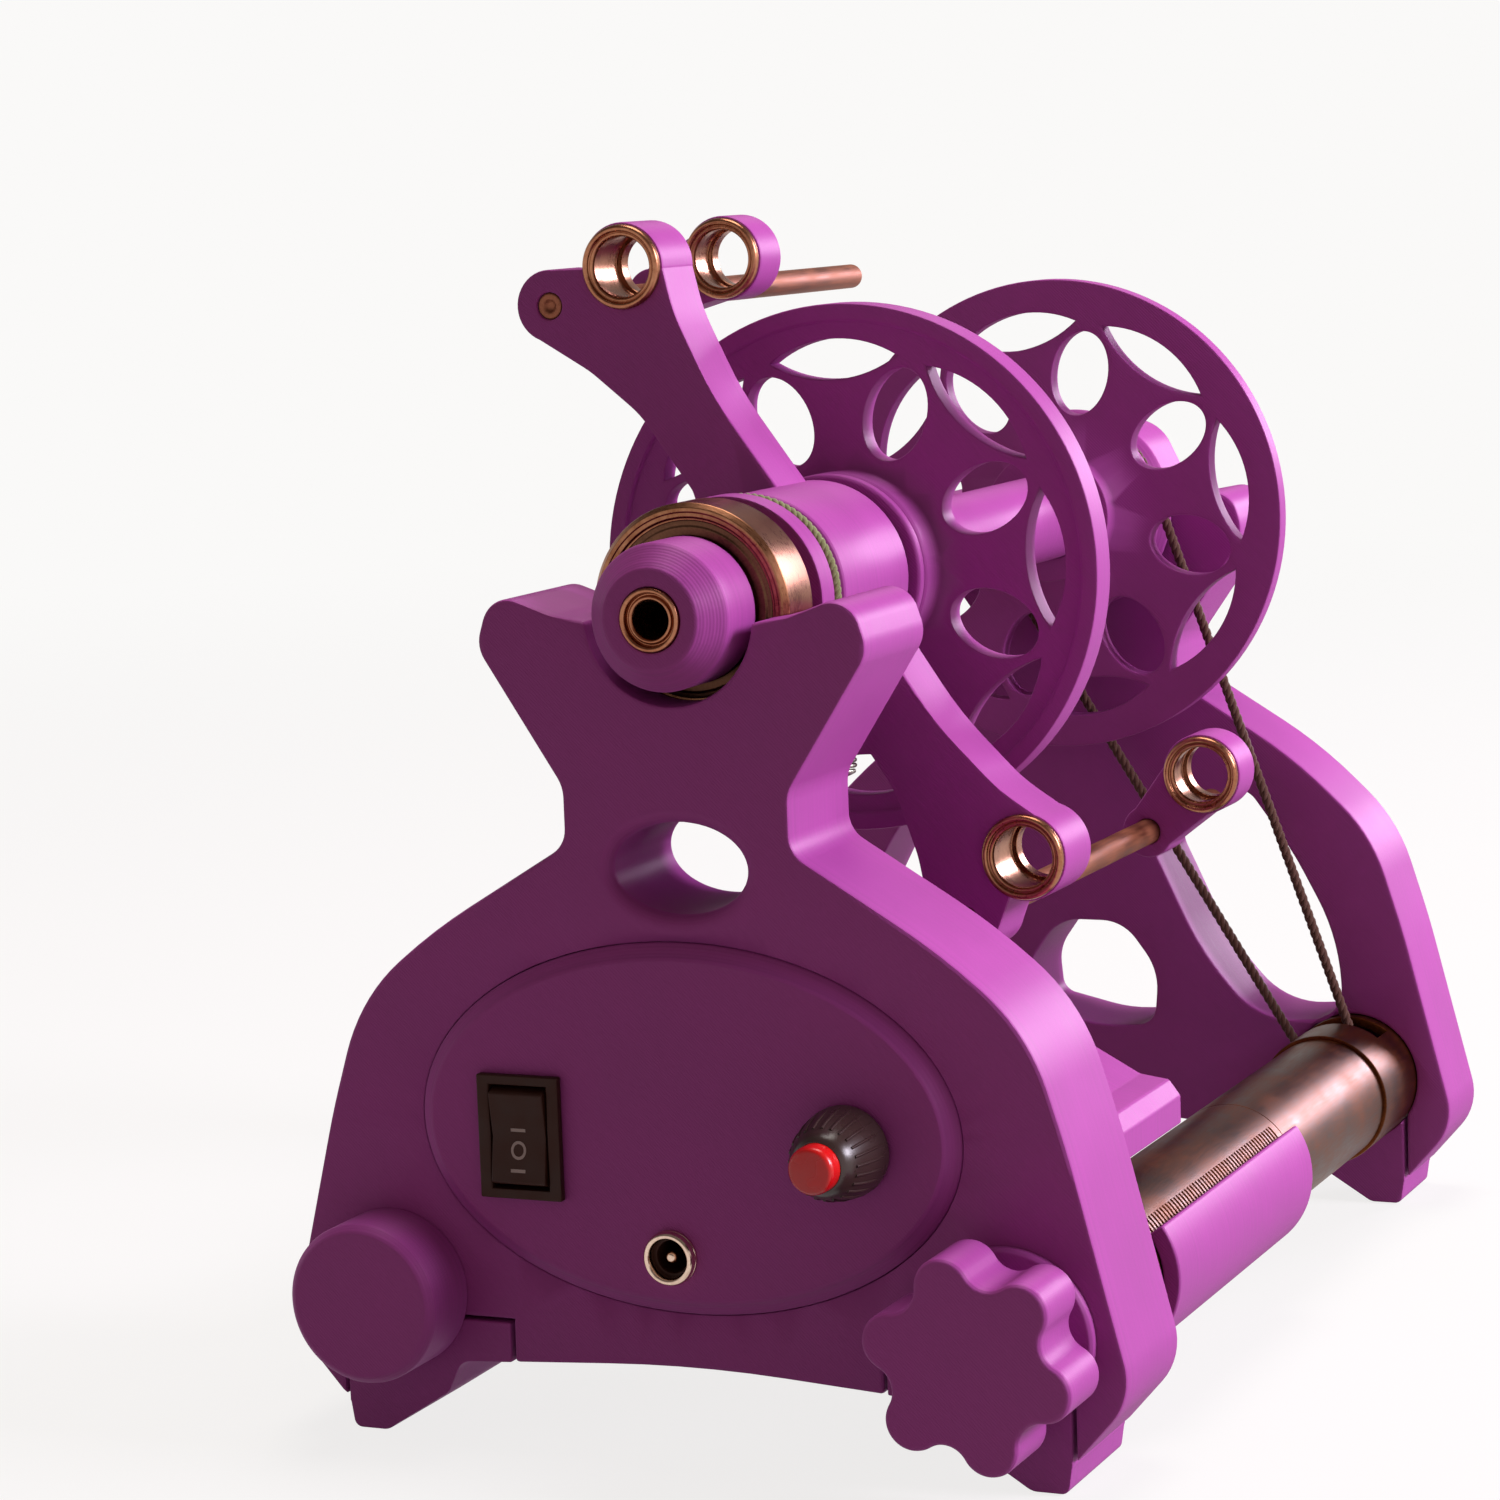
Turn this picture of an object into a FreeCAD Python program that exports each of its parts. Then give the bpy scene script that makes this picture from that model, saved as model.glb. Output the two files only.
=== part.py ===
"""Electric yarn spinner: printed frame, bobbin driven by a small motor, flyer held by a brake cord.

Frame: origin under the middle of the outer box, +X right, +Y to the back, +Z up, millimetres.
Every sub-part is drawn with Y measured from the front face of the front plate, and its Placement
moves it back to the frame's own origin.
"""
import FreeCAD
import Part
import Sketcher
import math
import os

V = FreeCAD.Vector

# alias, value in mm (or degrees), what it is
DIMENSIONS = [
    ("front_y", -100.0, "Y of the front plate's front face"),
    ("front_thick", 26.0, "front plate thickness"),
    ("rear_y", 200.0, "front face of the rear plate, from the front plate's face"),
    ("rear_thick", 20.0, "rear plate thickness"),
    ("spindle_z", 140.7, "height of the flyer axis"),
    ("rail_x", 55.5, "side distance of the two rails"),
    ("rail_z", 25.5, "height of the two rails"),
    ("rail_rad", 12.2, "rail and motor tube outer radius"),
    ("rail_wall", 1.6, "rail wall"),
    ("rail_fit", 0.05, "radial clearance of a rail in its bore"),
    ("face_wall", 4.0, "wall left in front of a blind rail bore"),
    ("base_half", 76.3, "half width of a plate at its widest"),
    ("neck_half", 20.2, "half width of the neck"),
    ("head_half", 35.0, "half width of the head"),
    ("split_x", 33.8, "inner seam of a foot piece"),
    ("foot_outer", 66.0, "outer seam of a foot piece"),
    ("split_z", 21.0, "top seam of a foot piece"),
    ("split_gap", 0.6, "width of the seam round a foot piece"),
    ("cradle_rad", 14.8, "radius of the open cradle's lips"),
    ("eye_a", 12.0, "half width of the finger hole in the neck"),
    ("eye_b", 7.6, "half height of the finger hole"),
    ("eye_round", 2.4, "rounding of the finger hole's edges"),
    ("panel_z", 56.0, "height of the control panel's middle"),
    ("panel_a", 48.5, "half width of the control panel"),
    ("panel_b", 31.1, "half height of the control panel"),
    ("panel_proud", 2.2, "how far the panel stands out of the plate"),
    ("panel_seat", 3.0, "depth of the panel's seat"),
    ("hollow_a", 41.0, "half width of the hollow behind the panel"),
    ("hollow_b", 27.0, "half height of the hollow behind the panel"),
    ("switch_x", -29.0, "rocker switch across"),
    ("switch_z", 53.7, "rocker switch height"),
    ("switch_w", 15.0, "rocker switch bezel width"),
    ("switch_h", 21.0, "rocker switch bezel height"),
    ("rocker_rad", 8.4, "radius of the rocker's ends about its pin"),
    ("jack_x", -2.4, "power jack across"),
    ("jack_z", 34.9, "power jack height"),
    ("jack_rad", 3.9, "power jack barrel radius"),
    ("pot_x", 29.5, "speed control across"),
    ("pot_z", 54.8, "speed control height"),
    ("knob_rad", 7.6, "speed knob skirt radius"),
    ("shaft_fit", 0.05, "radial running clearance of a small shaft"),
    ("fb_rad", 17.5, "front bearing outer radius"),
    ("fb_bore", 7.5, "front bearing bore radius"),
    ("fb_y", 9.0, "front bearing front face"),
    ("fb_wide", 11.0, "front bearing width"),
    ("rb_rad", 11.0, "rear bearing outer radius"),
    ("rb_bore", 4.0, "rear bearing bore radius"),
    ("rb_wide", 7.0, "rear bearing width"),
    ("ring_wall", 2.9, "bearing ring wall of the front bearing"),
    ("hub_rad", 16.8, "flyer hub drum radius"),
    ("groove_rad", 15.0, "floor radius of the brake groove"),
    ("arm_y", 50.0, "front face of the flyer arms"),
    ("arm_thick", 13.0, "flyer arm thickness"),
    ("eyelet_r", 62.2, "distance of the eyelets from the axis"),
    ("eyelet_angle", 118.0, "angle of the upper eyelets about the axis"),
    ("eyelet_hole", 6.4, "radius of the hole for an eyelet"),
    ("eyelet_bore", 5.5, "eyelet bore radius"),
    ("rod_r", 65.2, "distance of the rods from the axis"),
    ("rod_angle", 132.0, "angle of the upper rod about the axis"),
    ("rod_rad", 2.4, "rod radius"),
    ("rod_end", 190.0, "back end of the rods"),
    ("mirror_angle", 35.0, "angle of the line that mirrors one arm into the other"),
    ("slider_thick", 9.5, "slider thickness"),
    ("upper_slider_y", 92.4, "front face of the upper slider"),
    ("lower_slider_y", 148.0, "front face of the lower slider"),
    ("shaft_rad", 4.0, "flyer shaft radius"),
    ("bush_fit", 0.08, "radial clearance of the bobbin bushes on the shaft"),
    ("flange_rad", 46.9, "bobbin flange radius"),
    ("bobbin_y", 68.0, "front end of the bobbin"),
    ("flange_y", 76.5, "front face of the front flange"),
    ("rear_flange_y", 185.5, "front face of the rear flange"),
    ("core_rad", 8.5, "bobbin core radius"),
    ("band_y", 194.5, "plane of the drive band"),
    ("band_rad", 1.05, "drive band section radius"),
    ("whorl_pitch", 18.4, "radius of the band's middle on the whorl"),
    ("pulley_pitch", 4.6, "radius of the band's middle on the motor pulley"),
    ("groove_gap", 0.3, "gap between a cord or band and its groove"),
    ("can_y", 118.0, "front end of the motor can"),
    ("can_end", 178.0, "back end of the motor can"),
    ("guard_rad", 12.9, "pulley guard radius"),
    ("guard_end", 212.0, "back end of the pulley guard"),
    ("motor_shaft_rad", 1.15, "motor shaft radius"),
    ("shell_in", 12.5, "tube cover inner radius"),
    ("shell_out", 15.6, "tube cover outer radius"),
    ("shell_y", 40.0, "front end of the tube cover"),
    ("cap_rad", 13.7, "left end cap radius"),
    ("cap_out", 13.0, "how far the left end cap stands out"),
    ("star_rad", 17.8, "star knob radius"),
    ("star_out", 20.0, "how far the star knob stands out"),
    ("star_base", 14.8, "radius of the star knob's base disc"),
    ("spool_rad", 4.5, "brake spool radius"),
    ("cord_rad", 0.9, "brake cord section radius"),
    ("cord_y", 32.5, "plane of the brake cord"),
    ("cover_back", 62.0, "back face of the electronics cover"),
    ("screw_rad", 1.5, "screw shank radius"),
]


class Size:
    """A number together with the expression that gives it from the spreadsheet."""

    def __init__(self, value, text):
        self.value = float(value)
        self.text = text

    def __add__(self, other):
        other = size(other)
        return Size(self.value + other.value, "(%s + %s)" % (self.text, other.text))

    def __sub__(self, other):
        other = size(other)
        return Size(self.value - other.value, "(%s - %s)" % (self.text, other.text))

    def __mul__(self, other):
        other = size(other)
        return Size(self.value * other.value, "(%s * %s)" % (self.text, other.text))

    def __neg__(self):
        return Size(-self.value, "(0 - %s)" % self.text)

    def __radd__(self, other):
        return size(other) + self

    def __rsub__(self, other):
        return size(other) - self

    def __rmul__(self, other):
        return size(other) * self


def size(number):
    """A Size for a plain number, or the Size itself."""
    if isinstance(number, Size):
        return number
    return Size(number, "(%s)" % repr(float(number)))


class Sizes:
    """The driving dimensions, each one an attribute of its alias."""


def make_sheet(doc):
    """Write the driving dimensions to a spreadsheet and return them as Size attributes."""
    sheet = doc.addObject("Spreadsheet::Sheet", "Sizes")
    found = Sizes()
    for row, (alias, value, meaning) in enumerate(DIMENSIONS, start=1):
        sheet.set("A%d" % row, alias)
        sheet.set("B%d" % row, str(value))
        sheet.set("C%d" % row, meaning)
        sheet.setAlias("B%d" % row, alias)
        setattr(found, alias, Size(value, "Sizes.%s" % alias))
    doc.recompute()
    return found


# ---------------------------------------------------------------- drawing helpers

def place(thing, s, x, z):
    """Move a sub-part from the front plate's face to the frame's own origin."""
    thing.setExpression(".Placement.Base.x", size(x).text)
    thing.setExpression(".Placement.Base.y", s.front_y.text)
    thing.setExpression(".Placement.Base.z", size(z).text)


def new_body(doc, s, label, x=0.0, z=0.0):
    """An empty body whose own Y axis stands at (x, z)."""
    body = doc.addObject("PartDesign::Body", label)
    body.Label = label
    place(body, s, x, z)
    return body


def new_sketch(body, role, name, offset):
    """A sketch on one of the body's origin planes, moved along the plane's normal."""
    sketch = body.newObject("Sketcher::SketchObject", name)
    plane = [feature for feature in body.Origin.OriginFeatures if feature.Role == role][0]
    sketch.AttachmentSupport = [(plane, "")]
    sketch.MapMode = "FlatFace"
    sketch.setExpression(".AttachmentOffset.Base.z", size(offset).text)
    return sketch


def bind(sketch, kind, ends, amount, name):
    """Add a dimension to a sketch and tie it to the spreadsheet."""
    amount = size(amount)
    number = sketch.addConstraint(Sketcher.Constraint(kind, *ends, amount.value))
    sketch.renameConstraint(number, name)
    sketch.setExpression(".Constraints.%s" % name, amount.text)


def draw_polygon(sketch, points):
    """A closed polygon with every corner dimensioned from the origin."""
    first = sketch.GeometryCount
    count = len(points)
    for i, (x, y) in enumerate(points):
        nx, ny = points[(i + 1) % count]
        start = V(size(x).value, size(y).value, 0)
        end = V(size(nx).value, size(ny).value, 0)
        sketch.addGeometry(Part.LineSegment(start, end), False)
    for i in range(count):
        here = first + i
        after = first + (i + 1) % count
        sketch.addConstraint(Sketcher.Constraint("Coincident", here, 2, after, 1))
    for i, (x, y) in enumerate(points):
        here = first + i
        for kind, amount, axis in (("DistanceX", x, -2), ("DistanceY", y, -1)):
            if size(amount).value == 0.0:
                sketch.addConstraint(Sketcher.Constraint("PointOnObject", here, 1, axis))
            else:
                bind(sketch, kind, (-1, 1, here, 1), amount, "%s_%d" % (kind.lower(), here))


def draw_circle(sketch, x, y, radius):
    """A circle with its middle and radius dimensioned."""
    here = sketch.GeometryCount
    middle = V(size(x).value, size(y).value, 0)
    sketch.addGeometry(Part.Circle(middle, V(0, 0, 1), size(radius).value), False)
    bind(sketch, "Radius", (here,), radius, "radius_%d" % here)
    for kind, amount, axis in (("DistanceX", x, -2), ("DistanceY", y, -1)):
        if size(amount).value == 0.0:
            sketch.addConstraint(Sketcher.Constraint("PointOnObject", here, 3, axis))
        else:
            bind(sketch, kind, (-1, 1, here, 3), amount, "%s_%d" % (kind.lower(), here))


def draw_ellipse(sketch, x, y, half_x, half_y):
    """An ellipse with its axes along the sketch's own."""
    middle = V(size(x).value, size(y).value, 0)
    wide = V(size(half_x).value, 0, 0)
    tall = V(0, size(half_y).value, 0)
    if wide.Length >= tall.Length:
        shape = Part.Ellipse(middle + wide, middle + tall, middle)
    else:
        shape = Part.Ellipse(middle + tall, middle - wide, middle)
    sketch.addGeometry(shape, False)


def rounded_edges(corners):
    """Lines and tangent arcs through corners given as (x, y, rounding radius)."""
    points = [V(size(x).value, size(y).value, 0) for x, y, _ in corners]
    radii = [size(r).value for _, _, r in corners]
    count = len(points)
    cuts = []
    for i in range(count):
        before = (points[i - 1] - points[i]).normalize()
        after = (points[(i + 1) % count] - points[i]).normalize()
        half = before.getAngle(after) / 2
        if radii[i] <= 0:
            cuts.append((points[i], points[i], points[i]))
            continue
        reach = radii[i] / math.tan(half)
        middle_way = (before + after).normalize()
        middle = points[i] + middle_way * (radii[i] / math.sin(half) - radii[i])
        cuts.append((points[i] + before * reach, middle, points[i] + after * reach))
    edges = []
    for i in range(count):
        start, middle, end = cuts[i]
        if radii[i] > 0:
            edges.append(Part.Arc(start, middle, end))
        following = cuts[(i + 1) % count][0]
        if (following - end).Length > 1e-6:
            edges.append(Part.LineSegment(end, following))
    return edges


def draw_loops(sketch, loops):
    """Draw closed loops: polygon, round (rounded polygon), circle, ellipse or curves."""
    for loop in loops:
        if loop[0] == "polygon":
            draw_polygon(sketch, loop[1])
        elif loop[0] == "round":
            sketch.addGeometry(rounded_edges(loop[1]), False)
        elif loop[0] == "circle":
            draw_circle(sketch, *loop[1:])
        elif loop[0] == "ellipse":
            draw_ellipse(sketch, *loop[1:])
        else:
            sketch.addGeometry(loop[1], False)


def pad(body, name, loops, y0, y1):
    """Add material between two distances behind the front face."""
    sketch = new_sketch(body, "XZ_Plane", name + "_sketch", -size(y0))
    draw_loops(sketch, loops)
    feature = body.newObject("PartDesign::Pad", name)
    feature.Profile = sketch
    feature.Reversed = True
    feature.setExpression("Length", (size(y1) - size(y0)).text)
    body.Tip = feature
    return feature


def pocket(body, name, loops, y0, y1):
    """Take material away between two distances behind the front face."""
    sketch = new_sketch(body, "XZ_Plane", name + "_sketch", -size(y0))
    draw_loops(sketch, loops)
    feature = body.newObject("PartDesign::Pocket", name)
    feature.Profile = sketch
    feature.setExpression("Length", (size(y1) - size(y0)).text)
    body.Tip = feature
    return feature


def drill_up(body, name, x, y, radius, z0, z1):
    """A vertical round hole between two heights."""
    sketch = new_sketch(body, "XY_Plane", name + "_sketch", z0)
    draw_circle(sketch, x, y, radius)
    feature = body.newObject("PartDesign::Pocket", name)
    feature.Profile = sketch
    feature.Reversed = True
    feature.setExpression("Length", (size(z1) - size(z0)).text)
    body.Tip = feature
    return feature


def turned(doc, s, label, x, z, points):
    """A turned piece: a profile of (radius, distance back) turned about its Y axis."""
    body = new_body(doc, s, label, x, z)
    sketch = new_sketch(body, "XY_Plane", label + "_profile", 0)
    draw_polygon(sketch, points)
    feature = body.newObject("PartDesign::Revolution", label + "_turned")
    feature.Profile = sketch
    feature.ReferenceAxis = (sketch, ["V_Axis"])
    feature.Angle = 360
    body.Tip = feature
    return body


def ring(doc, s, label, x, z, inner, outer, y0, y1):
    """A plain ring or tube."""
    return turned(doc, s, label, x, z, [(inner, y0), (outer, y0), (outer, y1), (inner, y1)])


def box_loop(x0, z0, x1, z1):
    """A rectangle as a dimensioned polygon."""
    return ("polygon", [(x0, z0), (x1, z0), (x1, z1), (x0, z1)])


def profile_solid(points, axis=V(0, 1, 0)):
    """A solid turned about an axis through the origin, for pieces that come as a group."""
    flat = []
    for radius, along in points:
        radius = size(radius).value
        along = size(along).value
        flat.append(V(radius, along, 0) if axis.y else V(radius, 0, along))
    face = Part.Face(Part.makePolygon(flat + [flat[0]]))
    return face.revolve(V(0, 0, 0), axis, 360)


def moved(shape, x, y, z):
    """A copy of a shape moved by x, y, z."""
    copy = shape.copy()
    copy.translate(V(size(x).value, size(y).value, size(z).value))
    return copy


def group(doc, s, label, shapes):
    """Several like solids under one name."""
    thing = doc.addObject("Part::Feature", label)
    thing.Label = label
    thing.Shape = Part.makeCompound(shapes)
    place(thing, s, 0, 0)
    return thing


def about_spindle(s, distance, angle, mirrored):
    """Point at a distance and angle about the flyer axis, or its twin on the other arm."""
    turn = 2 * s.mirror_angle.value - angle if mirrored else angle
    rad = math.radians(turn)
    reach = size(distance).value
    return reach * math.cos(rad), reach * math.sin(rad)


def flip_arm(s, point):
    """Mirror a point, given from the flyer axis, from the upper arm to the lower arm."""
    turn = math.radians(2 * s.mirror_angle.value)
    x, z = point
    return x * math.cos(turn) + z * math.sin(turn), x * math.sin(turn) - z * math.cos(turn)


# ---------------------------------------------------------------- frame

def plate_outline(s, head, brow):
    """The outline shared by both plates; head and brow list the corners above the shoulders."""
    right = brow + [
        (60.2, 75.2, 34.0),
        (66.4, 55.5, 160.0),
        (s.base_half, 16.8, 11.0),
        (65.6, 4.6, 1.2),
        (64.9, 0.0, 1.6),
        (58.6, 0.0, 3.0),
        (46.4, 7.6, 3.0),
        (43.8, 13.2, 3.0),
        (0.0, 16.0, 250.0),
    ]
    mirrored = [(-size(x), z, r) for x, z, r in reversed(head + right[:-1])]
    return ("round", head + right + mirrored)


def front_outline(s):
    """Front plate outline: two shoulders with the cradle between them."""
    head = [(14.7, 139.6, 0.0), (21.0, 140.6, 10.0), (32.0, 144.6, 5.0)]
    brow = [(s.head_half, 135.2, 5.5), (s.neck_half, 112.2, 6.0), (s.neck_half, 102.5, 5.0),
            (45.5, 87.3, 110.0)]
    return plate_outline(s, head, brow)


def rear_outline(s):
    """Rear plate outline: the head closes over the rear bearing."""
    head = [(11.0, 157.6, 9.0), (18.5, 142.2, 5.0), (32.0, 144.6, 5.0)]
    brow = [(s.head_half, 135.2, 8.0), (s.neck_half, 114.2, 6.0), (s.neck_half, 105.5, 5.0),
            (44.5, 90.4, 90.0)]
    return plate_outline(s, head, brow)


def cut_feet_away(body, s, y0, y1):
    """Take the two lower corners out of a plate, with half of the seam."""
    half = s.split_gap * 0.5
    inner = s.split_x - half
    outer = s.foot_outer + half
    top = s.split_z + half
    loops = [box_loop(inner, -5.0, outer, top), box_loop(-inner, -5.0, -outer, top)]
    pocket(body, body.Label + "_feet_cut", loops, y0 - 1, y1 + 1)


def rail_bores(body, s, y0, y1, right_rad, left_from, right_from):
    """Bores for the two rails between two depths."""
    left = ("circle", -s.rail_x, s.rail_z, s.rail_rad + s.rail_fit)
    right = ("circle", s.rail_x, s.rail_z, right_rad + s.rail_fit)
    pocket(body, body.Label + "_left_bore", [left], left_from, y1)
    pocket(body, body.Label + "_right_bore", [right], right_from, y1)


def make_front_plate(doc, s):
    """Thick plate with cradle, finger hole, panel seat, hollow, rail bores and brake slot."""
    body = new_body(doc, s, "front_plate")
    pad(body, "front_plate_pad", [front_outline(s)], 0, s.front_thick)
    cradle = ("circle", 0, s.spindle_z, s.cradle_rad)
    pocket(body, "cradle_opening", [cradle], -1, s.front_thick + 1)
    seat = ("circle", 0, s.spindle_z, s.fb_rad + 0.05)
    pocket(body, "front_bearing_seat", [seat], s.fb_y - 0.1, s.fb_y + s.fb_wide + 0.1)
    relief = ("circle", 0, s.spindle_z, s.fb_rad + 0.9)
    pocket(body, "hub_relief", [relief], 22.8, s.front_thick + 1)
    panel = ("ellipse", 0, s.panel_z, s.panel_a + 0.2, s.panel_b + 0.2)
    pocket(body, "panel_recess", [panel], -1, s.panel_seat)
    hollow = ("ellipse", 0, s.panel_z, s.hollow_a, s.hollow_b)
    pocket(body, "hollow_cut", [hollow], 1, s.front_thick + 1)
    cut_feet_away(body, s, size(0), s.front_thick)
    rail_bores(body, s, 0, s.front_thick + 1, s.rail_rad, -1, s.face_wall)
    bush = ("circle", s.rail_x, s.rail_z, 4.55)
    pocket(body, "knob_bush_hole", [bush], -1, s.face_wall + 1)
    slot = ("polygon", [(52.2, 30.0), (43.9, 66.9), (21.4, 99.6), (18.6, 97.6),
                        (41.1, 65.1), (49.3, 30.0)])
    pocket(body, "brake_slot", [slot], 6.5, s.front_thick + 1)
    for side, name in ((-1, "left"), (1, "right")):
        drill_up(body, "foot_screw_hole_" + name, side * 40.0, 13.0, s.screw_rad, 15.0, 33.5)
    for side in (-1, 1):
        hole = ("circle", side * 60.0, 43.2, s.screw_rad)
        pocket(body, "cover_screw_hole_%d" % (side + 1), [hole], 14.0, s.front_thick + 1)
    anchor = ("circle", -17.0, 108.0, s.screw_rad)
    pocket(body, "brake_anchor_hole", [anchor], 14.0, s.front_thick + 1)
    eye = ("ellipse", 0, 99.1, s.eye_a, s.eye_b)
    cut = pocket(body, "finger_hole", [eye], -1, s.front_thick + 1)
    doc.recompute()
    edges = eye_edges(cut.Shape, s, 0.0, s.front_thick.value)
    fillet = body.newObject("PartDesign::Fillet", "finger_hole_round")
    fillet.Base = (cut, edges)
    fillet.setExpression("Radius", s.eye_round.text)
    body.Tip = fillet
    return body


def eye_edges(shape, s, front, back):
    """Names of the finger hole's two rim edges."""
    found = []
    for number, edge in enumerate(shape.Edges, start=1):
        box = edge.BoundBox
        flat = abs(box.YMax - box.YMin) < 1e-6
        rim = abs(box.YMin - front) < 1e-6 or abs(box.YMin - back) < 1e-6
        inside = box.XMin > -s.eye_a.value - 0.1 and box.XMax < s.eye_a.value + 0.1
        around = box.ZMin > 88.0 and box.ZMax < 110.0
        if flat and rim and inside and around and box.XLength > 10:
            found.append("Edge%d" % number)
    return found


def make_rear_plate(doc, s):
    """Rear plate with the closed bearing seat, one egg hole and two leaf openings."""
    body = new_body(doc, s, "rear_plate")
    y0 = s.rear_y
    y1 = s.rear_y + s.rear_thick
    pad(body, "rear_plate_pad", [rear_outline(s)], y0, y1)
    seat = ("circle", 0, s.spindle_z, s.rb_rad + 0.05)
    pocket(body, "rear_bearing_seat", [seat], y0 - 1, y0 + s.rb_wide + 0.6)
    tail = ("circle", 0, s.spindle_z, 7.0)
    pocket(body, "shaft_end_room", [tail], y0, y1 - 3.0)
    egg = ("round", [(-12.8, 37.0, 3.4), (2.0, 33.6, 30.0), (13.4, 34.4, 4.2),
                     (14.4, 45.6, 12.0), (7.0, 55.6, 9.0), (-6.8, 55.6, 9.0),
                     (-13.6, 46.0, 9.0)])
    pocket(body, "egg_hole", [egg], y0 - 1, y1 + 1)
    leaf = [(13.6, 72.2, 4.0), (33.0, 85.5, 5.0), (43.6, 71.0, 60.0), (52.6, 54.0, 40.0),
            (53.4, 37.4, 6.5), (36.0, 36.2, 16.0), (24.0, 50.0, 60.0)]
    pocket(body, "leaf_right", [("round", leaf)], y0 - 1, y1 + 1)
    twin = [(-x, z, r) for x, z, r in reversed(leaf)]
    pocket(body, "leaf_left", [("round", twin)], y0 - 1, y1 + 1)
    cut_feet_away(body, s, y0, y1)
    left = ("circle", -s.rail_x, s.rail_z, s.rail_rad + s.rail_fit)
    pocket(body, "rear_left_bore", [left], y0 - 1, y1 - s.face_wall)
    right = ("circle", s.rail_x, s.rail_z, s.guard_rad + s.rail_fit)
    pocket(body, "rear_right_bore", [right], y0 - 1, s.guard_end + 0.2)
    for side, name in ((-1, "left"), (1, "right")):
        drill_up(body, "rear_foot_screw_" + name, side * 40.0, 210.0, s.screw_rad, 15.0, 33.5)
    return body


def make_foot(doc, s, label, side, outline, y0, y1, bore_rad, bore_from, bore_to):
    """One lower corner piece: the plate's outline less everything but that corner."""
    body = new_body(doc, s, label)
    pad(body, label + "_pad", [outline], y0, y1)
    half = s.split_gap * 0.5
    inner = (s.split_x + half) * side
    outer = (s.foot_outer - half) * side
    top = s.split_z - half
    across = box_loop(inner, -5.0, -90.0 * side, 170.0)
    beyond = box_loop(outer, -5.0, 90.0 * side, 170.0)
    above = box_loop(-100.0, top, 100.0, 171.0)
    pocket(body, label + "_inner_cut", [across], y0 - 1, y1 + 1)
    pocket(body, label + "_outer_cut", [beyond], y0 - 1, y1 + 1)
    pocket(body, label + "_top_cut", [above], y0 - 1, y1 + 1)
    bore = ("circle", s.rail_x * side, s.rail_z, bore_rad + s.rail_fit)
    pocket(body, label + "_bore", [bore], bore_from, bore_to)
    middle = (y0 + y1) * 0.5
    drill_up(body, label + "_screw_hole", side * 40.0, middle, s.screw_rad, -1.0, 22.0)
    drill_up(body, label + "_screw_head", side * 40.0, middle, 3.2, -1.0, 16.2)
    return body


def make_feet(doc, s):
    """The four foot pieces that clamp the rails from below."""
    front = front_outline(s)
    rear = rear_outline(s)
    zero = size(0)
    rear_end = s.rear_y + s.rear_thick
    return [
        make_foot(doc, s, "front_foot_left", -1, front, zero, s.front_thick, s.rail_rad,
                  -1, s.front_thick + 1),
        make_foot(doc, s, "front_foot_right", 1, front, zero, s.front_thick, s.rail_rad,
                  s.face_wall, s.front_thick + 1),
        make_foot(doc, s, "rear_foot_left", -1, rear, s.rear_y, rear_end, s.rail_rad,
                  s.rear_y - 1, rear_end - s.face_wall),
        make_foot(doc, s, "rear_foot_right", 1, rear, s.rear_y, rear_end, s.guard_rad,
                  s.rear_y - 1, s.guard_end + 0.2),
    ]


def make_rails(doc, s):
    """Left rail with its end cap, and the right tube that holds the motor."""
    bore = s.rail_rad - s.rail_wall
    left_end = s.rear_y + s.rear_thick - s.face_wall - 0.2
    rail = ring(doc, s, "left_rail", -s.rail_x, s.rail_z, bore, s.rail_rad, 4.0, left_end)
    cap = turned(doc, s, "left_end_cap", -s.rail_x, s.rail_z, [
        (0, -s.cap_out), (s.cap_rad - 1.2, -s.cap_out), (s.cap_rad, 1.2 - s.cap_out),
        (s.cap_rad, 0), (s.rail_rad, 0), (s.rail_rad, 4.0), (bore, 4.0), (bore, 12.0),
        (bore - 2.0, 12.0), (bore - 2.0, 2.0), (0, 2.0)])
    tube = ring(doc, s, "motor_tube", s.rail_x, s.rail_z, bore, s.rail_rad, 14.3, s.can_y)
    can_end = s.can_end
    can = turned(doc, s, "motor_can", s.rail_x, s.rail_z, [
        (s.rail_rad - 1.0, s.can_y), (s.rail_rad, s.can_y), (s.rail_rad, can_end),
        (3.5, can_end), (3.5, can_end + 2.5), (s.motor_shaft_rad + s.shaft_fit, can_end + 2.5),
        (s.motor_shaft_rad + s.shaft_fit, can_end - 3.0), (s.rail_rad - 1.0, can_end - 3.0)])
    bell = turned(doc, s, "motor_end_bell", s.rail_x, s.rail_z, [
        (s.motor_shaft_rad + s.shaft_fit, s.can_y - 4.0), (bore - 0.1, s.can_y - 4.0),
        (bore - 0.1, s.can_y), (s.rail_rad - 1.0, s.can_y), (s.rail_rad - 1.0, s.can_y + 3.0),
        (s.motor_shaft_rad + s.shaft_fit, s.can_y + 3.0)])
    guard = ring(doc, s, "pulley_guard", s.rail_x, s.rail_z, s.guard_rad - 1.9, s.guard_rad,
                 can_end, s.guard_end)
    window = box_loop(-16.0, 2.0, 7.5, 16.0)
    pocket(guard, "band_window", [window], s.band_y - 3.5, s.band_y + 3.5)
    shell = new_body(doc, s, "tube_cover", s.rail_x, s.rail_z)
    pad(shell, "tube_cover_pad", [("curves", arc_band(s.shell_in, s.shell_out, -125.0, 36.0))],
        s.shell_y, s.can_y)
    return [rail, cap, tube, can, bell, guard, shell]


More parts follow.
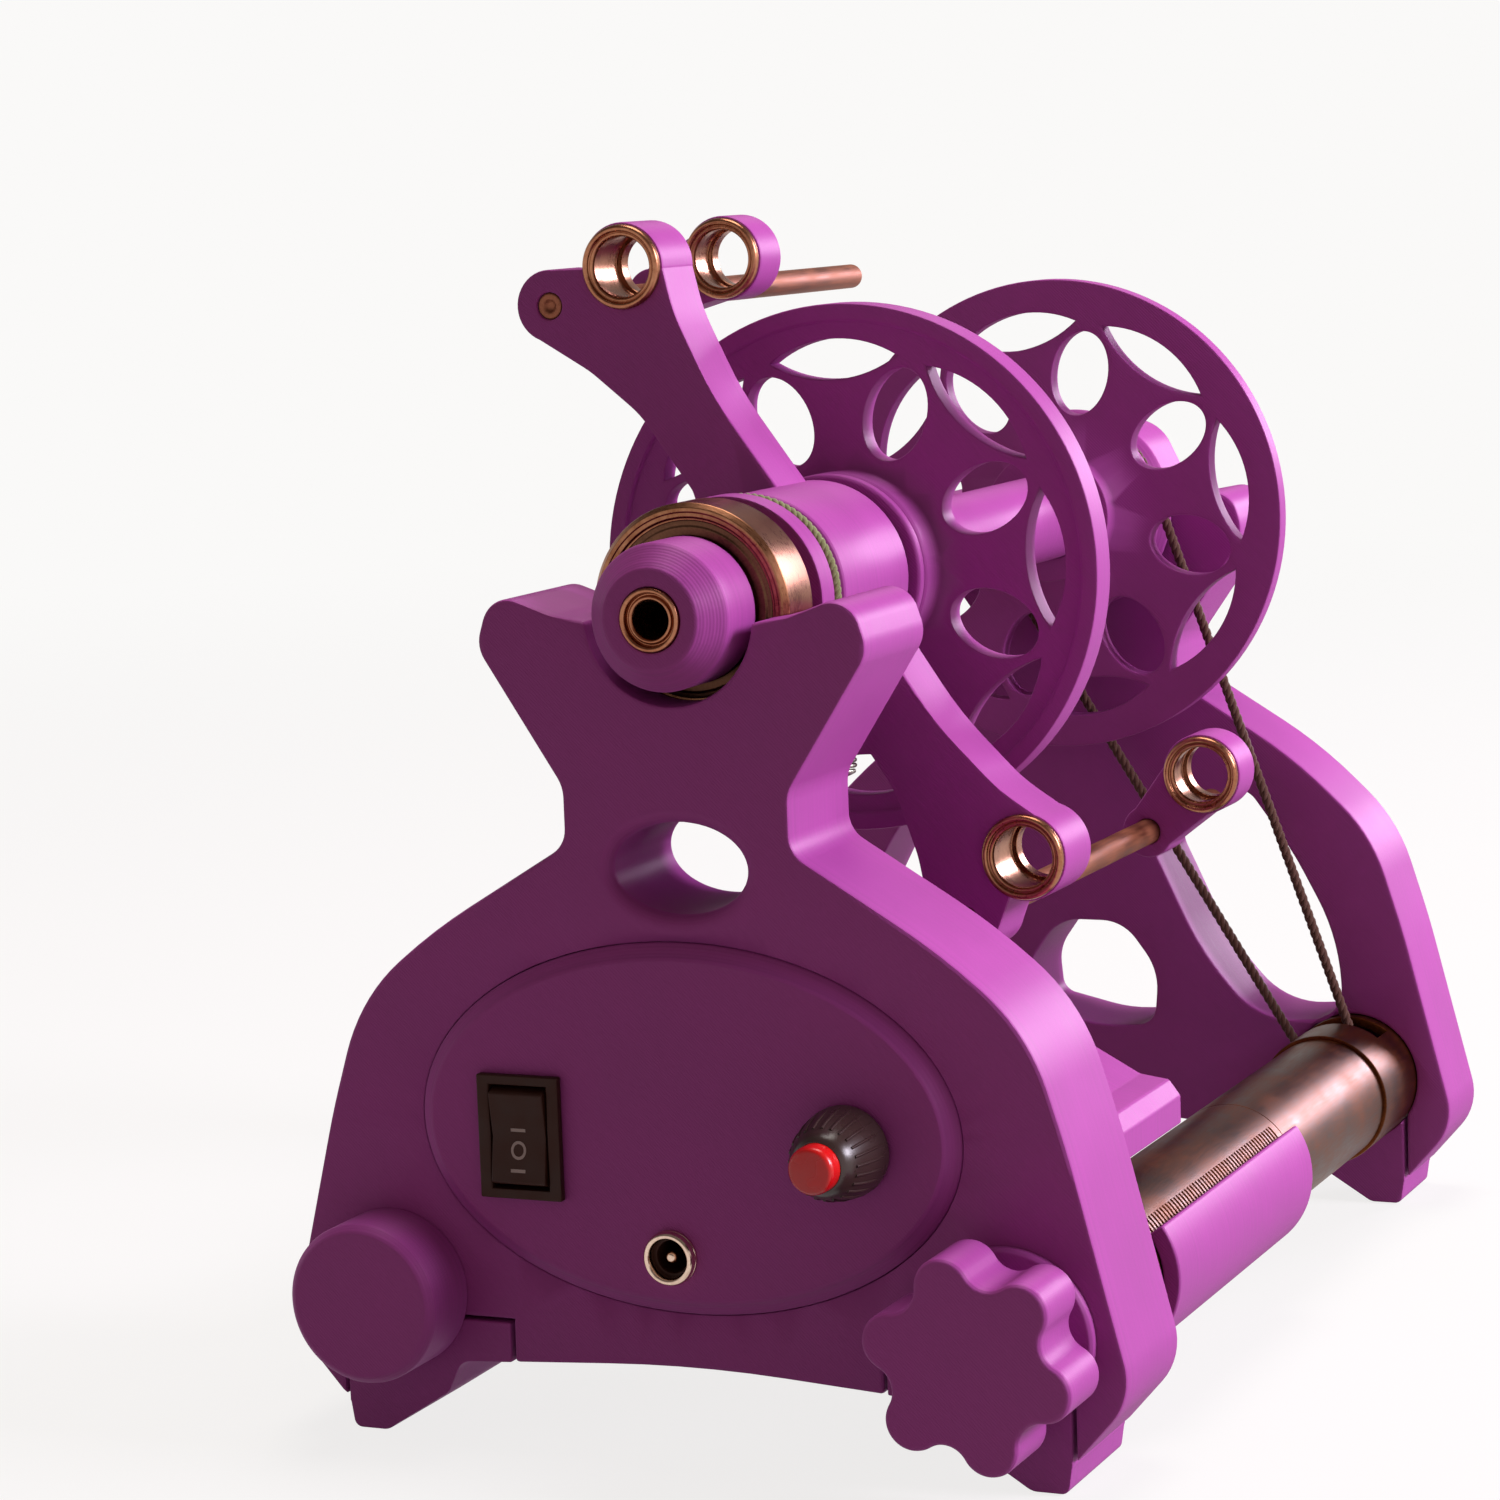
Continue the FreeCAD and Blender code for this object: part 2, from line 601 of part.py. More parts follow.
def arc_band(inner, outer, start, end):
    """Edges of a curved strip between two radii and two angles."""
    inner = size(inner).value
    outer = size(outer).value

    def point(radius, angle):
        return V(radius * math.cos(math.radians(angle)), radius * math.sin(math.radians(angle)), 0)

    middle = (start + end) / 2
    return [
        Part.Arc(point(outer, start), point(outer, middle), point(outer, end)),
        Part.LineSegment(point(outer, end), point(inner, end)),
        Part.Arc(point(inner, end), point(inner, middle), point(inner, start)),
        Part.LineSegment(point(inner, start), point(outer, start)),
    ]


def make_electronics(doc, s):
    """Cover behind the front plate and the speed board inside it."""
    cover = new_body(doc, s, "electronics_cover")
    outer = [(44.0, 62.8, 4.0), (50.5, 59.2, 2.0), (57.5, 55.4, 2.0), (62.6, 54.7, 1.0),
             (64.6, 52.0, 1.0), (64.6, 47.0, 0.5), (46.0, 46.6, 3.0), (40.0, 40.0, 3.0),
             (36.0, 22.0, 2.0)]
    inner = [(43.4, 60.6, 2.5), (49.9, 57.1, 1.2), (57.0, 53.3, 1.2), (61.4, 52.7, 0.6),
             (62.5, 51.0, 0.5), (62.5, 49.0, 0.3), (45.0, 48.6, 2.0), (38.2, 41.0, 2.0),
             (34.2, 24.0, 1.2)]
    start = s.front_thick
    twin = [(-x, z, r) for x, z, r in reversed(outer)]
    pad(cover, "cover_pad", [("round", outer + twin)], start, s.cover_back)
    inner_twin = [(-x, z, r) for x, z, r in reversed(inner)]
    pocket(cover, "cover_hollow", [("round", inner + inner_twin)], start - 1, s.cover_back - 2.0)
    tabs = [box_loop(54.0, 39.5, 64.5, 48.0), box_loop(-54.0, 39.5, -64.5, 48.0)]
    pad(cover, "cover_tabs", tabs, start, start + 3.0)
    holes = [("circle", 60.0, 43.2, 1.7), ("circle", -60.0, 43.2, 1.7)]
    pocket(cover, "cover_tab_holes", holes, start - 1, start + 4.0)
    posts = [("circle", x, z, 2.4) for x in (-27.0, 27.0) for z in (34.0, 54.0)]
    pad(cover, "board_posts", posts, s.cover_back - 10.0, s.cover_back - 1.0)
    board = new_body(doc, s, "speed_board")
    top = s.cover_back - 10.0
    pad(board, "board_pad", [box_loop(-31.0, 30.0, 31.0, 58.0)], top - 1.6, top)
    parts = [box_loop(-22.0, 36.0, -10.0, 52.0), box_loop(2.0, 34.0, 16.0, 44.0),
             ("circle", 10.0, 51.0, 3.0)]
    pad(board, "board_parts", parts, top - 9.6, top - 1.6)
    return [cover, board]


# ---------------------------------------------------------------- controls

def make_panel(doc, s):
    """Oval panel that fills the seat and stands out with a bevelled rim."""
    body = new_body(doc, s, "control_panel")
    oval = ("ellipse", 0, s.panel_z, s.panel_a, s.panel_b)
    first = pad(body, "panel_pad", [oval], -s.panel_proud, s.panel_seat)
    doc.recompute()
    rim = []
    for number, edge in enumerate(first.Shape.Edges, start=1):
        box = edge.BoundBox
        if box.XLength > 20 and abs(box.YMax + s.panel_proud.value) < 1e-6:
            rim.append("Edge%d" % number)
    bevel = body.newObject("PartDesign::Chamfer", "panel_bevel")
    bevel.Base = (first, rim)
    bevel.ChamferType = "Two distances"
    bevel.Size = 2.1
    bevel.Size2 = 2.6
    body.Tip = bevel
    half_w = s.switch_w * 0.5 - 1.0
    half_h = s.switch_h * 0.5 - 1.0
    opening = box_loop(s.switch_x - half_w, s.switch_z - half_h,
                       s.switch_x + half_w, s.switch_z + half_h)
    loops = [opening, ("circle", s.jack_x, s.jack_z, s.jack_rad + 0.1),
             ("circle", s.pot_x, s.pot_z, 3.5)]
    pocket(body, "panel_openings", loops, -s.panel_proud - 1, s.panel_seat + 1)
    return body


def make_switch(doc, s):
    """Rocker switch: fixed body with its bezel, and the rocker on its pin."""
    front = -s.panel_proud
    half_w = s.switch_w * 0.5
    half_h = s.switch_h * 0.5
    body = new_body(doc, s, "switch_body", s.switch_x, s.switch_z)
    pad(body, "bezel", [box_loop(-half_w, -half_h, half_w, half_h)], front - 1.6, front)
    low = box_loop(1.05 - half_w, 1.05 - half_h, half_w - 1.05, half_h - 1.05)
    pad(body, "switch_box", [low], front, 14.0)
    room = s.rocker_rad + 0.4
    pocket(body, "rocker_room", [box_loop(-5.3, -room, 5.3, room)], front - 2.0, 6.0)
    pin_y = -1.0
    pin_hole = body.newObject("PartDesign::SubtractiveCylinder", "pin_holes")
    pin_hole.Height = 12.2
    pin_hole.setExpression("Radius", (0.8 + s.shaft_fit).text)
    pin_hole.Placement = FreeCAD.Placement(V(-6.1, pin_y, 0), FreeCAD.Rotation(V(0, 1, 0), 90))
    body.Tip = pin_hole
    rocker = new_body(doc, s, "rocker", s.switch_x, s.switch_z)
    sketch = new_sketch(rocker, "YZ_Plane", "rocker_side", -5.0)
    rad = s.rocker_rad.value
    nose = 7.55
    lead = math.sqrt(rad * rad - nose * nose)
    top = V(pin_y - lead, nose, 0)
    back_top = V(pin_y + lead, nose, 0)
    back_low = V(pin_y + lead, -nose, 0)
    low_end = V(pin_y - lead, -nose, 0)
    dip = V(pin_y - lead + 1.1, 0, 0)
    sketch.addGeometry([
        Part.Arc(top, V(pin_y, rad, 0), back_top),
        Part.LineSegment(back_top, back_low),
        Part.Arc(back_low, V(pin_y, -rad, 0), low_end),
        Part.LineSegment(low_end, dip),
        Part.LineSegment(dip, top)], False)
    feature = rocker.newObject("PartDesign::Pad", "rocker_pad")
    feature.Profile = sketch
    feature.Length = 10.0
    pin = rocker.newObject("PartDesign::AdditiveCylinder", "rocker_pin")
    pin.Height = 12.0
    pin.Radius = 0.8
    pin.Placement = FreeCAD.Placement(V(-6.0, pin_y, 0), FreeCAD.Rotation(V(0, 1, 0), 90))
    rocker.Tip = pin
    return [body, rocker]


def make_jack(doc, s):
    """DC power jack: barrel, metal ring and centre pin."""
    front = -s.panel_proud
    barrel = turned(doc, s, "jack_barrel", s.jack_x, s.jack_z, [
        (2.75, front), (s.jack_rad, front), (s.jack_rad, 14.0), (0, 14.0), (0, 9.0), (2.75, 9.0)])
    nose = turned(doc, s, "jack_ring", s.jack_x, s.jack_z, [
        (3.1, front - 2.2), (4.2, front - 2.2), (4.6, front - 1.8), (4.6, front), (3.1, front)])
    pin = turned(doc, s, "jack_pin", s.jack_x, s.jack_z, [
        (0, front - 0.8), (0.7, front - 0.8), (1.05, front - 0.4), (1.05, 9.0), (0, 9.0)])
    return [barrel, nose, pin]


def make_speed_control(doc, s):
    """Speed potentiometer, its shaft, and the knob with its cap."""
    front = -s.panel_proud
    pot = turned(doc, s, "potentiometer", s.pot_x, s.pot_z, [
        (3.0 + s.shaft_fit, front - 3.3), (3.4, front - 3.3), (3.4, 3.0), (8.2, 3.0),
        (8.2, 12.0), (0, 12.0), (0, 8.5), (3.0 + s.shaft_fit, 8.5)])
    nut = new_body(doc, s, "pot_nut", s.pot_x, s.pot_z)
    corners = []
    for i in range(6):
        angle = math.radians(60 * i)
        corners.append((5.6 * math.cos(angle), 5.6 * math.sin(angle), 0.0))
    pad(nut, "nut_pad", [("round", corners), ("circle", 0, 0, 3.4)], front - 2.0, front)
    shaft = ring(doc, s, "pot_shaft", s.pot_x, s.pot_z, 0, 3.0, -13.0, 8.0)
    knob = turned(doc, s, "speed_knob", s.pot_x, s.pot_z, [
        (6.2, front - 0.6), (s.knob_rad, front - 0.6), (s.knob_rad, front - 2.2),
        (6.9, -9.0), (5.6, -13.0), (4.4, -14.6), (4.0, -15.0), (4.0, -14.0), (3.0, -13.0),
        (3.0, -6.5), (6.2, -6.5)])
    cap = turned(doc, s, "speed_knob_cap", s.pot_x, s.pot_z, [
        (0, -13.0), (3.0, -13.0), (4.0, -14.0), (4.0, -17.2), (3.5, -18.0), (0, -18.3)])
    return [pot, nut, shaft, knob, cap]


# ---------------------------------------------------------------- brake

def star_edges(s):
    """Six round lobes joined by hollows that touch them."""
    lobe = s.star_rad.value * 0.27
    out = s.star_rad.value - lobe
    hollow_out = s.star_rad.value * 0.98
    gap = math.sqrt(out ** 2 + hollow_out ** 2 - 2 * out * hollow_out * math.cos(math.pi / 6))
    hollow = gap - lobe
    edges = []

    def at(radius, angle):
        return V(radius * math.cos(angle), radius * math.sin(angle), 0)

    for i in range(6):
        mid = math.radians(60 * i - 14)
        before = mid - math.pi / 6
        after = mid + math.pi / 6
        centre = at(out, mid)
        start = centre + (at(hollow_out, before) - centre).normalize() * lobe
        end = centre + (at(hollow_out, after) - centre).normalize() * lobe
        edges.append(Part.Arc(start, at(s.star_rad.value, mid), end))
        following = at(out, mid + math.pi / 3)
        next_start = following + (at(hollow_out, after) - following).normalize() * lobe
        edges.append(Part.Arc(end, at(hollow_out - hollow, after), next_start))
    return edges


def make_tension_knob(doc, s):
    """Star knob, its base disc, and the shaft whose spool winds the brake line."""
    base = turned(doc, s, "knob_base", s.rail_x, s.rail_z, [
        (3.0 + s.shaft_fit, -2.0), (s.star_base - 0.6, -2.0), (s.star_base, -1.4),
        (s.star_base, 0), (4.5, 0), (4.5, s.face_wall), (3.0 + s.shaft_fit, s.face_wall)])
    knob = new_body(doc, s, "star_knob", s.rail_x, s.rail_z)
    pad(knob, "star_pad", [("curves", star_edges(s))], -s.star_out, -6.0)
    pad(knob, "star_boss", [("circle", 0, 0, 9.5)], -6.0, -2.3)
    pocket(knob, "star_bore", [("circle", 0, 0, 3.0)], -14.0, 0)
    spool = turned(doc, s, "tension_spool", s.rail_x, s.rail_z, [
        (0, -14.0), (3.0, -14.0), (3.0, 4.6), (7.0, 4.6), (7.0, 5.6), (s.spool_rad, 6.6),
        (s.spool_rad, 11.4), (7.0, 12.4), (7.0, 13.4), (0, 13.4)])
    return [base, knob, spool]


def rod_between(start, end, radius):
    """A round bar between two points."""
    along = end - start
    return Part.makeCylinder(radius, along.Length, start, along)


def bent_tube(points, radii, radius):
    """A tube of straight runs joined by tangent arcs at its inner points."""
    solids = []
    here = points[0]
    for i in range(1, len(points) - 1):
        before = (points[i - 1] - points[i]).normalize()
        after = (points[i + 1] - points[i]).normalize()
        half = before.getAngle(after) / 2
        reach = radii[i - 1] / math.tan(half)
        start = points[i] + before * reach
        end = points[i] + after * reach
        centre = points[i] + (before + after).normalize() * (radii[i - 1] / math.sin(half))
        axis = (start - centre).cross(before * -1).normalize()
        turn = 180 - 2 * math.degrees(half)
        solids.append(rod_between(here, start, radius))
        disc = Part.Face(Part.Wire(Part.makeCircle(radius, start, before * -1)))
        solids.append(disc.revolve(centre, axis, turn))
        here = end
    solids.append(rod_between(here, points[-1], radius))
    whole = solids[0].multiFuse(solids[1:])
    return whole.removeSplitter()


def make_brake(doc, s):
    """Brake cord over the hub groove, its spring, the line to the spool and the anchor."""
    rad = s.cord_rad.value
    path = s.groove_rad.value + s.groove_gap.value + rad
    y = s.cord_y.value
    top = s.spindle_z.value
    face = Part.Face(Part.Wire(Part.makeCircle(rad, V(path, y, top), V(0, 0, 1))))
    over = face.revolve(V(0, y, top), V(0, -1, 0), 180)
    right = rod_between(V(path, y, 123.4), V(path, y, top), rad)
    left = rod_between(V(-path, y, 112.4), V(-path, y, top), rad)
    cord = over.multiFuse([right, left]).removeSplitter()
    turns = [(0, 110.3), (1.9, 110.3), (2.2, 111.0)]
    for i in range(10):
        low = 111.0 + 1.14 * i
        turns += [(2.6, low + 0.38), (2.6, low + 0.76), (2.2, low + 1.14)]
    spring = moved(profile_solid(turns + [(1.9, 123.4), (0, 123.4)], V(0, 0, 1)), path, y, 0)
    side = s.rail_x.value - s.spool_rad.value - s.groove_gap.value - 0.5
    points = [V(path, y, 110.3), V(path, y, 104.0), V(21.0, 26.6, 96.5), V(42.5, 17.0, 66.0),
              V(side, 9.0, 31.0), V(side, 9.0, s.rail_z.value)]
    line = bent_tube(points, [5.0, 12.0, 16.0, 12.0], 0.5)
    post = profile_solid([(0, 15.0), (1.5, 15.0), (1.5, 29.5), (4.0, 29.5), (4.0, 35.4), (0, 35.4)])
    anchor = moved(post, -17.0, 0, 108.0).fuse(
        rod_between(V(-path, y, 108.0), V(-path, y, 112.4), 1.6))
    return [group(doc, s, "brake_cord", [cord]), group(doc, s, "brake_spring", [spring]),
            group(doc, s, "brake_line", [line]), group(doc, s, "brake_anchor", [anchor])]


# ---------------------------------------------------------------- bearings

def ball_row(s, pitch, radius, count, y):
    """Balls evenly round the flyer axis."""
    balls = []
    for i in range(count):
        angle = 2 * math.pi * i / count
        where = V(pitch * math.cos(angle), y, s.spindle_z.value + pitch * math.sin(angle))
        balls.append(Part.makeSphere(radius, where))
    return balls


def make_bearings(doc, s):
    """Front and rear ball bearings: rings, balls and shields."""
    y0 = s.fb_y
    y1 = s.fb_y + s.fb_wide
    z = s.spindle_z
    outer_in = s.fb_rad - s.ring_wall
    inner_out = s.fb_bore + s.ring_wall
    front_outer = turned(doc, s, "front_bearing_outer", 0, z, [
        (outer_in, y0), (s.fb_rad - 0.6, y0), (s.fb_rad, y0 + 0.6), (s.fb_rad, y1 - 0.6),
        (s.fb_rad - 0.6, y1), (outer_in, y1)])
    front_inner = ring(doc, s, "front_bearing_inner", 0, z, s.fb_bore, inner_out, y0, y1)
    ry = s.rear_y + 0.4
    rear_outer = ring(doc, s, "rear_bearing_outer", 0, z, 8.9, s.rb_rad, ry, ry + s.rb_wide)
    rear_inner = ring(doc, s, "rear_bearing_inner", 0, z, s.rb_bore, 6.0, ry, ry + s.rb_wide)
    pitch = (outer_in.value + inner_out.value) / 2
    ball = (outer_in.value - inner_out.value) / 2 - 0.08
    balls = ball_row(s, pitch, ball, 9, (y0.value + y1.value) / 2)
    balls += ball_row(s, 7.45, 1.37, 8, ry.value + s.rb_wide.value / 2)
    shields = []
    for inner, outer, y in ((inner_out + 0.3, outer_in, y0 + 0.4), (inner_out + 0.3, outer_in, y1 - 0.9),
                            (size(6.3), size(8.9), ry + 0.4),
                            (size(6.3), size(8.9), ry + s.rb_wide - 0.9)):
        flat = profile_solid([(inner, y), (outer, y), (outer, y + 0.5), (inner, y + 0.5)])
        shields.append(moved(flat, 0, 0, z))
    return [front_outer, front_inner, rear_outer, rear_inner,
            group(doc, s, "bearing_balls", balls), group(doc, s, "bearing_shields", shields)]


# ---------------------------------------------------------------- flyer

def arm_web(s, mirrored):
    """Corners of one arm between the hub and its outer end, from the flyer axis."""
    web = [(9.0, 8.8, 0.0), (-1.0, 16.1, 5.0), (-13.0, 32.6, 60.0), (-19.8, 47.0, 30.0),
           (-21.7, 55.2, 0.0), (-29.3, 54.9, 0.0), (-43.4, 54.7, 0.0), (-46.6, 43.0, 0.0),
           (-36.3, 36.9, 20.0), (-27.0, 29.3, 20.0), (-17.6, 16.1, 3.0), (-14.0, 5.3, 0.0)]
    if mirrored:
        web = [flip_arm(s, (x, z)) + (r,) for x, z, r in web]
    return [(x, z, r) for x, z, r in web]


def make_hub(doc, s):
    """Hub drum with the brake groove and both arms in one print."""
    end = 66.0
    body = turned(doc, s, "flyer_hub", 0, s.spindle_z, [
        (s.fb_bore, 20.0), (10.0, 20.0), (10.0, 24.0), (s.hub_rad + 0.6, 24.0),
        (s.hub_rad + 0.6, 29.4), (s.groove_rad, 30.2), (s.groove_rad, 34.8), (s.hub_rad, 35.4),
        (s.hub_rad, 63.6), (s.hub_rad - 0.9, end), (s.shaft_rad, end), (s.shaft_rad, 52.0),
        (0, 52.0), (0, 46.0), (4.2, 46.0), (4.2, 34.0), (s.fb_bore, 34.0)])
    back = s.arm_y + s.arm_thick
    for mirrored, name in ((False, "upper"), (True, "lower")):
        ex, ez = about_spindle(s, s.eyelet_r, s.eyelet_angle.value, mirrored)
        rx, rz = about_spindle(s, s.rod_r, s.rod_angle.value, mirrored)
        pad(body, name + "_arm", [("round", arm_web(s, mirrored))], s.arm_y, back)
        pad(body, name + "_housing", [("circle", ex, ez, s.eyelet_hole + 1.3)], s.arm_y, back)
        pad(body, name + "_lobe", [("circle", rx, rz, 6.3)], s.arm_y, back)
        pocket(body, name + "_eyelet_hole", [("circle", ex, ez, s.eyelet_hole)],
               s.arm_y - 1, back + 1)
        pocket(body, name + "_rod_hole", [("circle", rx, rz, s.rod_rad)], s.arm_y - 1, back + 1)
    exit_hole = body.newObject("PartDesign::SubtractiveCylinder", "yarn_exit")
    exit_hole.Radius = 4.0
    exit_hole.Height = 30.0
    exit_hole.Placement = FreeCAD.Placement(V(0, 41.0, 0), FreeCAD.Rotation(V(0, 1, 0), -90))
    body.Tip = exit_hole
    return body


def eyelet_solid(s, front, back):
    """A rolled metal eyelet with a lip at each end, about the Y axis."""
    hole = s.eyelet_hole
    bore = s.eyelet_bore
    return profile_solid([
        (bore, front - 0.8), (bore + 0.5, front - 1.3), (hole + 0.6, front - 1.3),
        (hole + 1.0, front - 0.9), (hole + 1.0, front), (hole, front), (hole, back),
        (hole + 0.8, back), (hole + 0.8, back + 0.6), (hole + 0.4, back + 1.0),
        (bore + 0.4, back + 1.0), (bore, back + 0.6)])


def make_flyer(doc, s):
    """Everything that turns with the flyer."""
    z = s.spindle_z
    sleeve = turned(doc, s, "orifice_sleeve", 0, z, [
        (3.4, -7.0), (4.8, -7.0), (5.3, -6.5), (5.3, 34.0), (3.0, 34.0), (3.0, -6.2)])
    collar = turned(doc, s, "nose_collar", 0, z, [
        (5.3, -6.5), (8.25, -6.5), (12.2, -2.7), (12.2, 8.5), (10.2, 8.5), (10.2, s.fb_y),
        (s.fb_bore, s.fb_y), (s.fb_bore, 34.0), (5.3, 34.0)])
    hub = make_hub(doc, s)
    eyelets = []
    rods = []
    rod = profile_solid([(0, s.arm_y + 0.3), (s.rod_rad, s.arm_y + 0.3),
                         (s.rod_rad, s.rod_end - 1.6), (s.rod_rad - 0.5, s.rod_end - 0.5),
                         (s.rod_rad - 1.2, s.rod_end), (0, s.rod_end)])
    for mirrored in (False, True):
        ex, ez = about_spindle(s, s.eyelet_r, s.eyelet_angle.value, mirrored)
        rx, rz = about_spindle(s, s.rod_r, s.rod_angle.value, mirrored)
        shape = eyelet_solid(s, s.arm_y, s.arm_y + s.arm_thick)
        eyelets.append(moved(shape, ex, 0, z + ez))
        rods.append(moved(rod, rx, 0, z + rz))
    shaft_end = s.rear_y + s.rb_wide + 6.0
    shaft = turned(doc, s, "flyer_shaft", 0, z, [
        (0, 52.0), (s.shaft_rad, 52.0), (s.shaft_rad, shaft_end - 1.0),
        (s.shaft_rad - 1.0, shaft_end), (0, shaft_end)])
    return [sleeve, collar, hub, group(doc, s, "arm_eyelets", eyelets),
            group(doc, s, "flyer_rods", rods), shaft]


def make_slider(doc, s, name, mirrored, front):
    """A slider that runs on a rod, and its eyelet."""
    ex, ez = about_spindle(s, s.eyelet_r, s.eyelet_angle.value, mirrored)
    rx, rz = about_spindle(s, s.rod_r, s.rod_angle.value, mirrored)
    body = new_body(doc, s, name, 0, s.spindle_z)
    back = front + s.slider_thick
    big = s.eyelet_hole.value + 1.3
    small = 5.0
    pad(body, name + "_housing", [("circle", ex, ez, s.eyelet_hole + 1.3)], front, back)
    pad(body, name + "_lobe", [("circle", rx, rz, small)], front, back)
    along = V(rx - ex, rz - ez, 0).normalize()
    across = V(-along.y, along.x, 0)
    eye = V(ex, ez, 0)
    rod = V(rx, rz, 0)
    web = [eye + across * (big - 0.8), rod + across * (small - 0.4),
           rod - across * (small - 0.4), eye - across * (big - 0.8)]
    pad(body, name + "_web", [("round", [(p.x, p.y, 0.0) for p in web])], front, back)
    pocket(body, name + "_eye_hole", [("circle", ex, ez, s.eyelet_hole)], front - 1, back + 1)
    pocket(body, name + "_rod_hole", [("circle", rx, rz, s.rod_rad + s.shaft_fit)],
           front - 1, back + 1)
    shape = moved(eyelet_solid(s, front, back), ex, 0, s.spindle_z + ez)
    return [body, group(doc, s, name + "_eyelet", [shape])]


# ---------------------------------------------------------------- bobbin and drive

def flange_windows(doc, s, body, phase, y0, y1):
    """Eight leaf windows near the rim and eight oval ones between them."""
    sketch = new_sketch(body, "XZ_Plane", body.Label + "_windows_sketch", -size(y0))
    scale = s.flange_rad.value / 46.9

    def turned_point(radial, side, angle):
        rad = math.radians(angle)
        reach = radial * scale
        across = side * scale
        return V(reach * math.cos(rad) - across * math.sin(rad),
                 reach * math.sin(rad) + across * math.cos(rad), 0)

    left = turned_point(37.0, -12.2, phase)
    right = turned_point(37.0, 12.2, phase)
    sketch.addGeometry([
        Part.Arc(left, turned_point(40.7, 0, phase), right),
        Part.Arc(right, turned_point(33.5, 0, phase), left)], False)
    middle = turned_point(28.8, 0, phase + 22.5)
    far = turned_point(28.8 + 8.4, 0, phase + 22.5)
    side = turned_point(28.8, 5.8, phase + 22.5)
    sketch.addGeometry(Part.Ellipse(far, side, middle), False)
    cut = body.newObject("PartDesign::Pocket", body.Label + "_window_pair")
    cut.Profile = sketch
    cut.setExpression("Length", (size(y1) - size(y0)).text)
    body.Tip = cut
    doc.recompute()
    pattern = body.newObject("PartDesign::PolarPattern", body.Label + "_windows")
    pattern.Originals = [cut]
    axis = [feature for feature in body.Origin.OriginFeatures if feature.Role == "Y_Axis"][0]
    pattern.Axis = (axis, [""])
    pattern.Angle = 360
    pattern.Occurrences = 8
    body.Tip = pattern


def make_bobbin(doc, s):
    """Bobbin: two flanges on a core tube, bushes and the whorl that the band drives."""
    z = s.spindle_z
    fy = s.flange_y
    front = turned(doc, s, "front_flange", 0, z, [
        (s.core_rad, s.bobbin_y), (17.0, s.bobbin_y), (17.5, s.bobbin_y + 0.5),
        (17.5, s.bobbin_y + 1.7), (16.8, s.bobbin_y + 2.0), (16.8, s.bobbin_y + 2.8),
        (17.5, s.bobbin_y + 3.1), (17.5, fy + 1.0),
        (s.flange_rad - 3.4, fy + 1.0), (s.flange_rad - 3.0, fy), (s.flange_rad, fy),
        (s.flange_rad, fy + 7.0), (s.flange_rad - 3.0, fy + 7.0), (s.flange_rad - 3.4, fy + 6.0),
        (13.0, fy + 6.0), (13.0, fy + 10.0), (s.core_rad, fy + 10.0)])
    flange_windows(doc, s, front, 93.0, fy - 1, fy + 9.0)
    ry = s.rear_flange_y
    rear = turned(doc, s, "rear_flange", 0, z, [
        (s.core_rad, ry - 5.0), (13.0, ry - 5.0), (13.0, ry), (s.flange_rad, ry),
        (s.flange_rad, ry + 4.0), (s.core_rad, ry + 4.0)])
    flange_windows(doc, s, rear, 100.5, ry - 1, ry + 5.0)
    end = s.rear_y - 1.2
    core = ring(doc, s, "bobbin_core", 0, z, 6.0, s.core_rad, s.bobbin_y + 0.3, end)
    floor = s.whorl_pitch - s.band_rad - s.groove_gap
    lip = s.whorl_pitch + 1.8
    by = s.band_y
    whorl = turned(doc, s, "bobbin_whorl", 0, z, [
        (s.core_rad, ry + 4.0), (lip, ry + 4.0), (lip, by - 3.5), (floor, by - 1.3),
        (floor, by + 1.3), (lip, by + 3.5), (lip, end), (s.core_rad, end)])
    bore = s.shaft_rad + s.bush_fit
    bushes = []
    for y0, y1 in ((s.bobbin_y + 0.3, s.bobbin_y + 10.3), (end - 10.0, end)):
        flat = profile_solid([(bore, y0), (6.0, y0), (6.0, y1), (bore, y1)])
        bushes.append(moved(flat, 0, 0, z))
    return [front, rear, core, whorl, group(doc, s, "bobbin_bushes", bushes)]


def make_drive(doc, s):
    """Motor rotor, pulley and the open band to the whorl."""
    by = s.band_y
    shaft_rad = s.motor_shaft_rad
    shaft = ring(doc, s, "motor_shaft", s.rail_x, s.rail_z, 0, shaft_rad, 113.0, by + 5.0)
    armature = ring(doc, s, "motor_armature", s.rail_x, s.rail_z, shaft_rad, 9.0, 128.0, 168.0)
    floor = s.pulley_pitch - s.band_rad - s.groove_gap
    lip = s.pulley_pitch + 1.8
    pulley = turned(doc, s, "motor_pulley", s.rail_x, s.rail_z, [
        (shaft_rad, by - 4.5), (lip, by - 4.5), (lip, by - 3.2), (floor, by - 1.3),
        (floor, by + 1.3), (lip, by + 3.2), (lip, by + 4.5), (shaft_rad, by + 4.5)])
    band = group(doc, s, "drive_band", [band_solid(s)])
    return [shaft, armature, pulley, band]


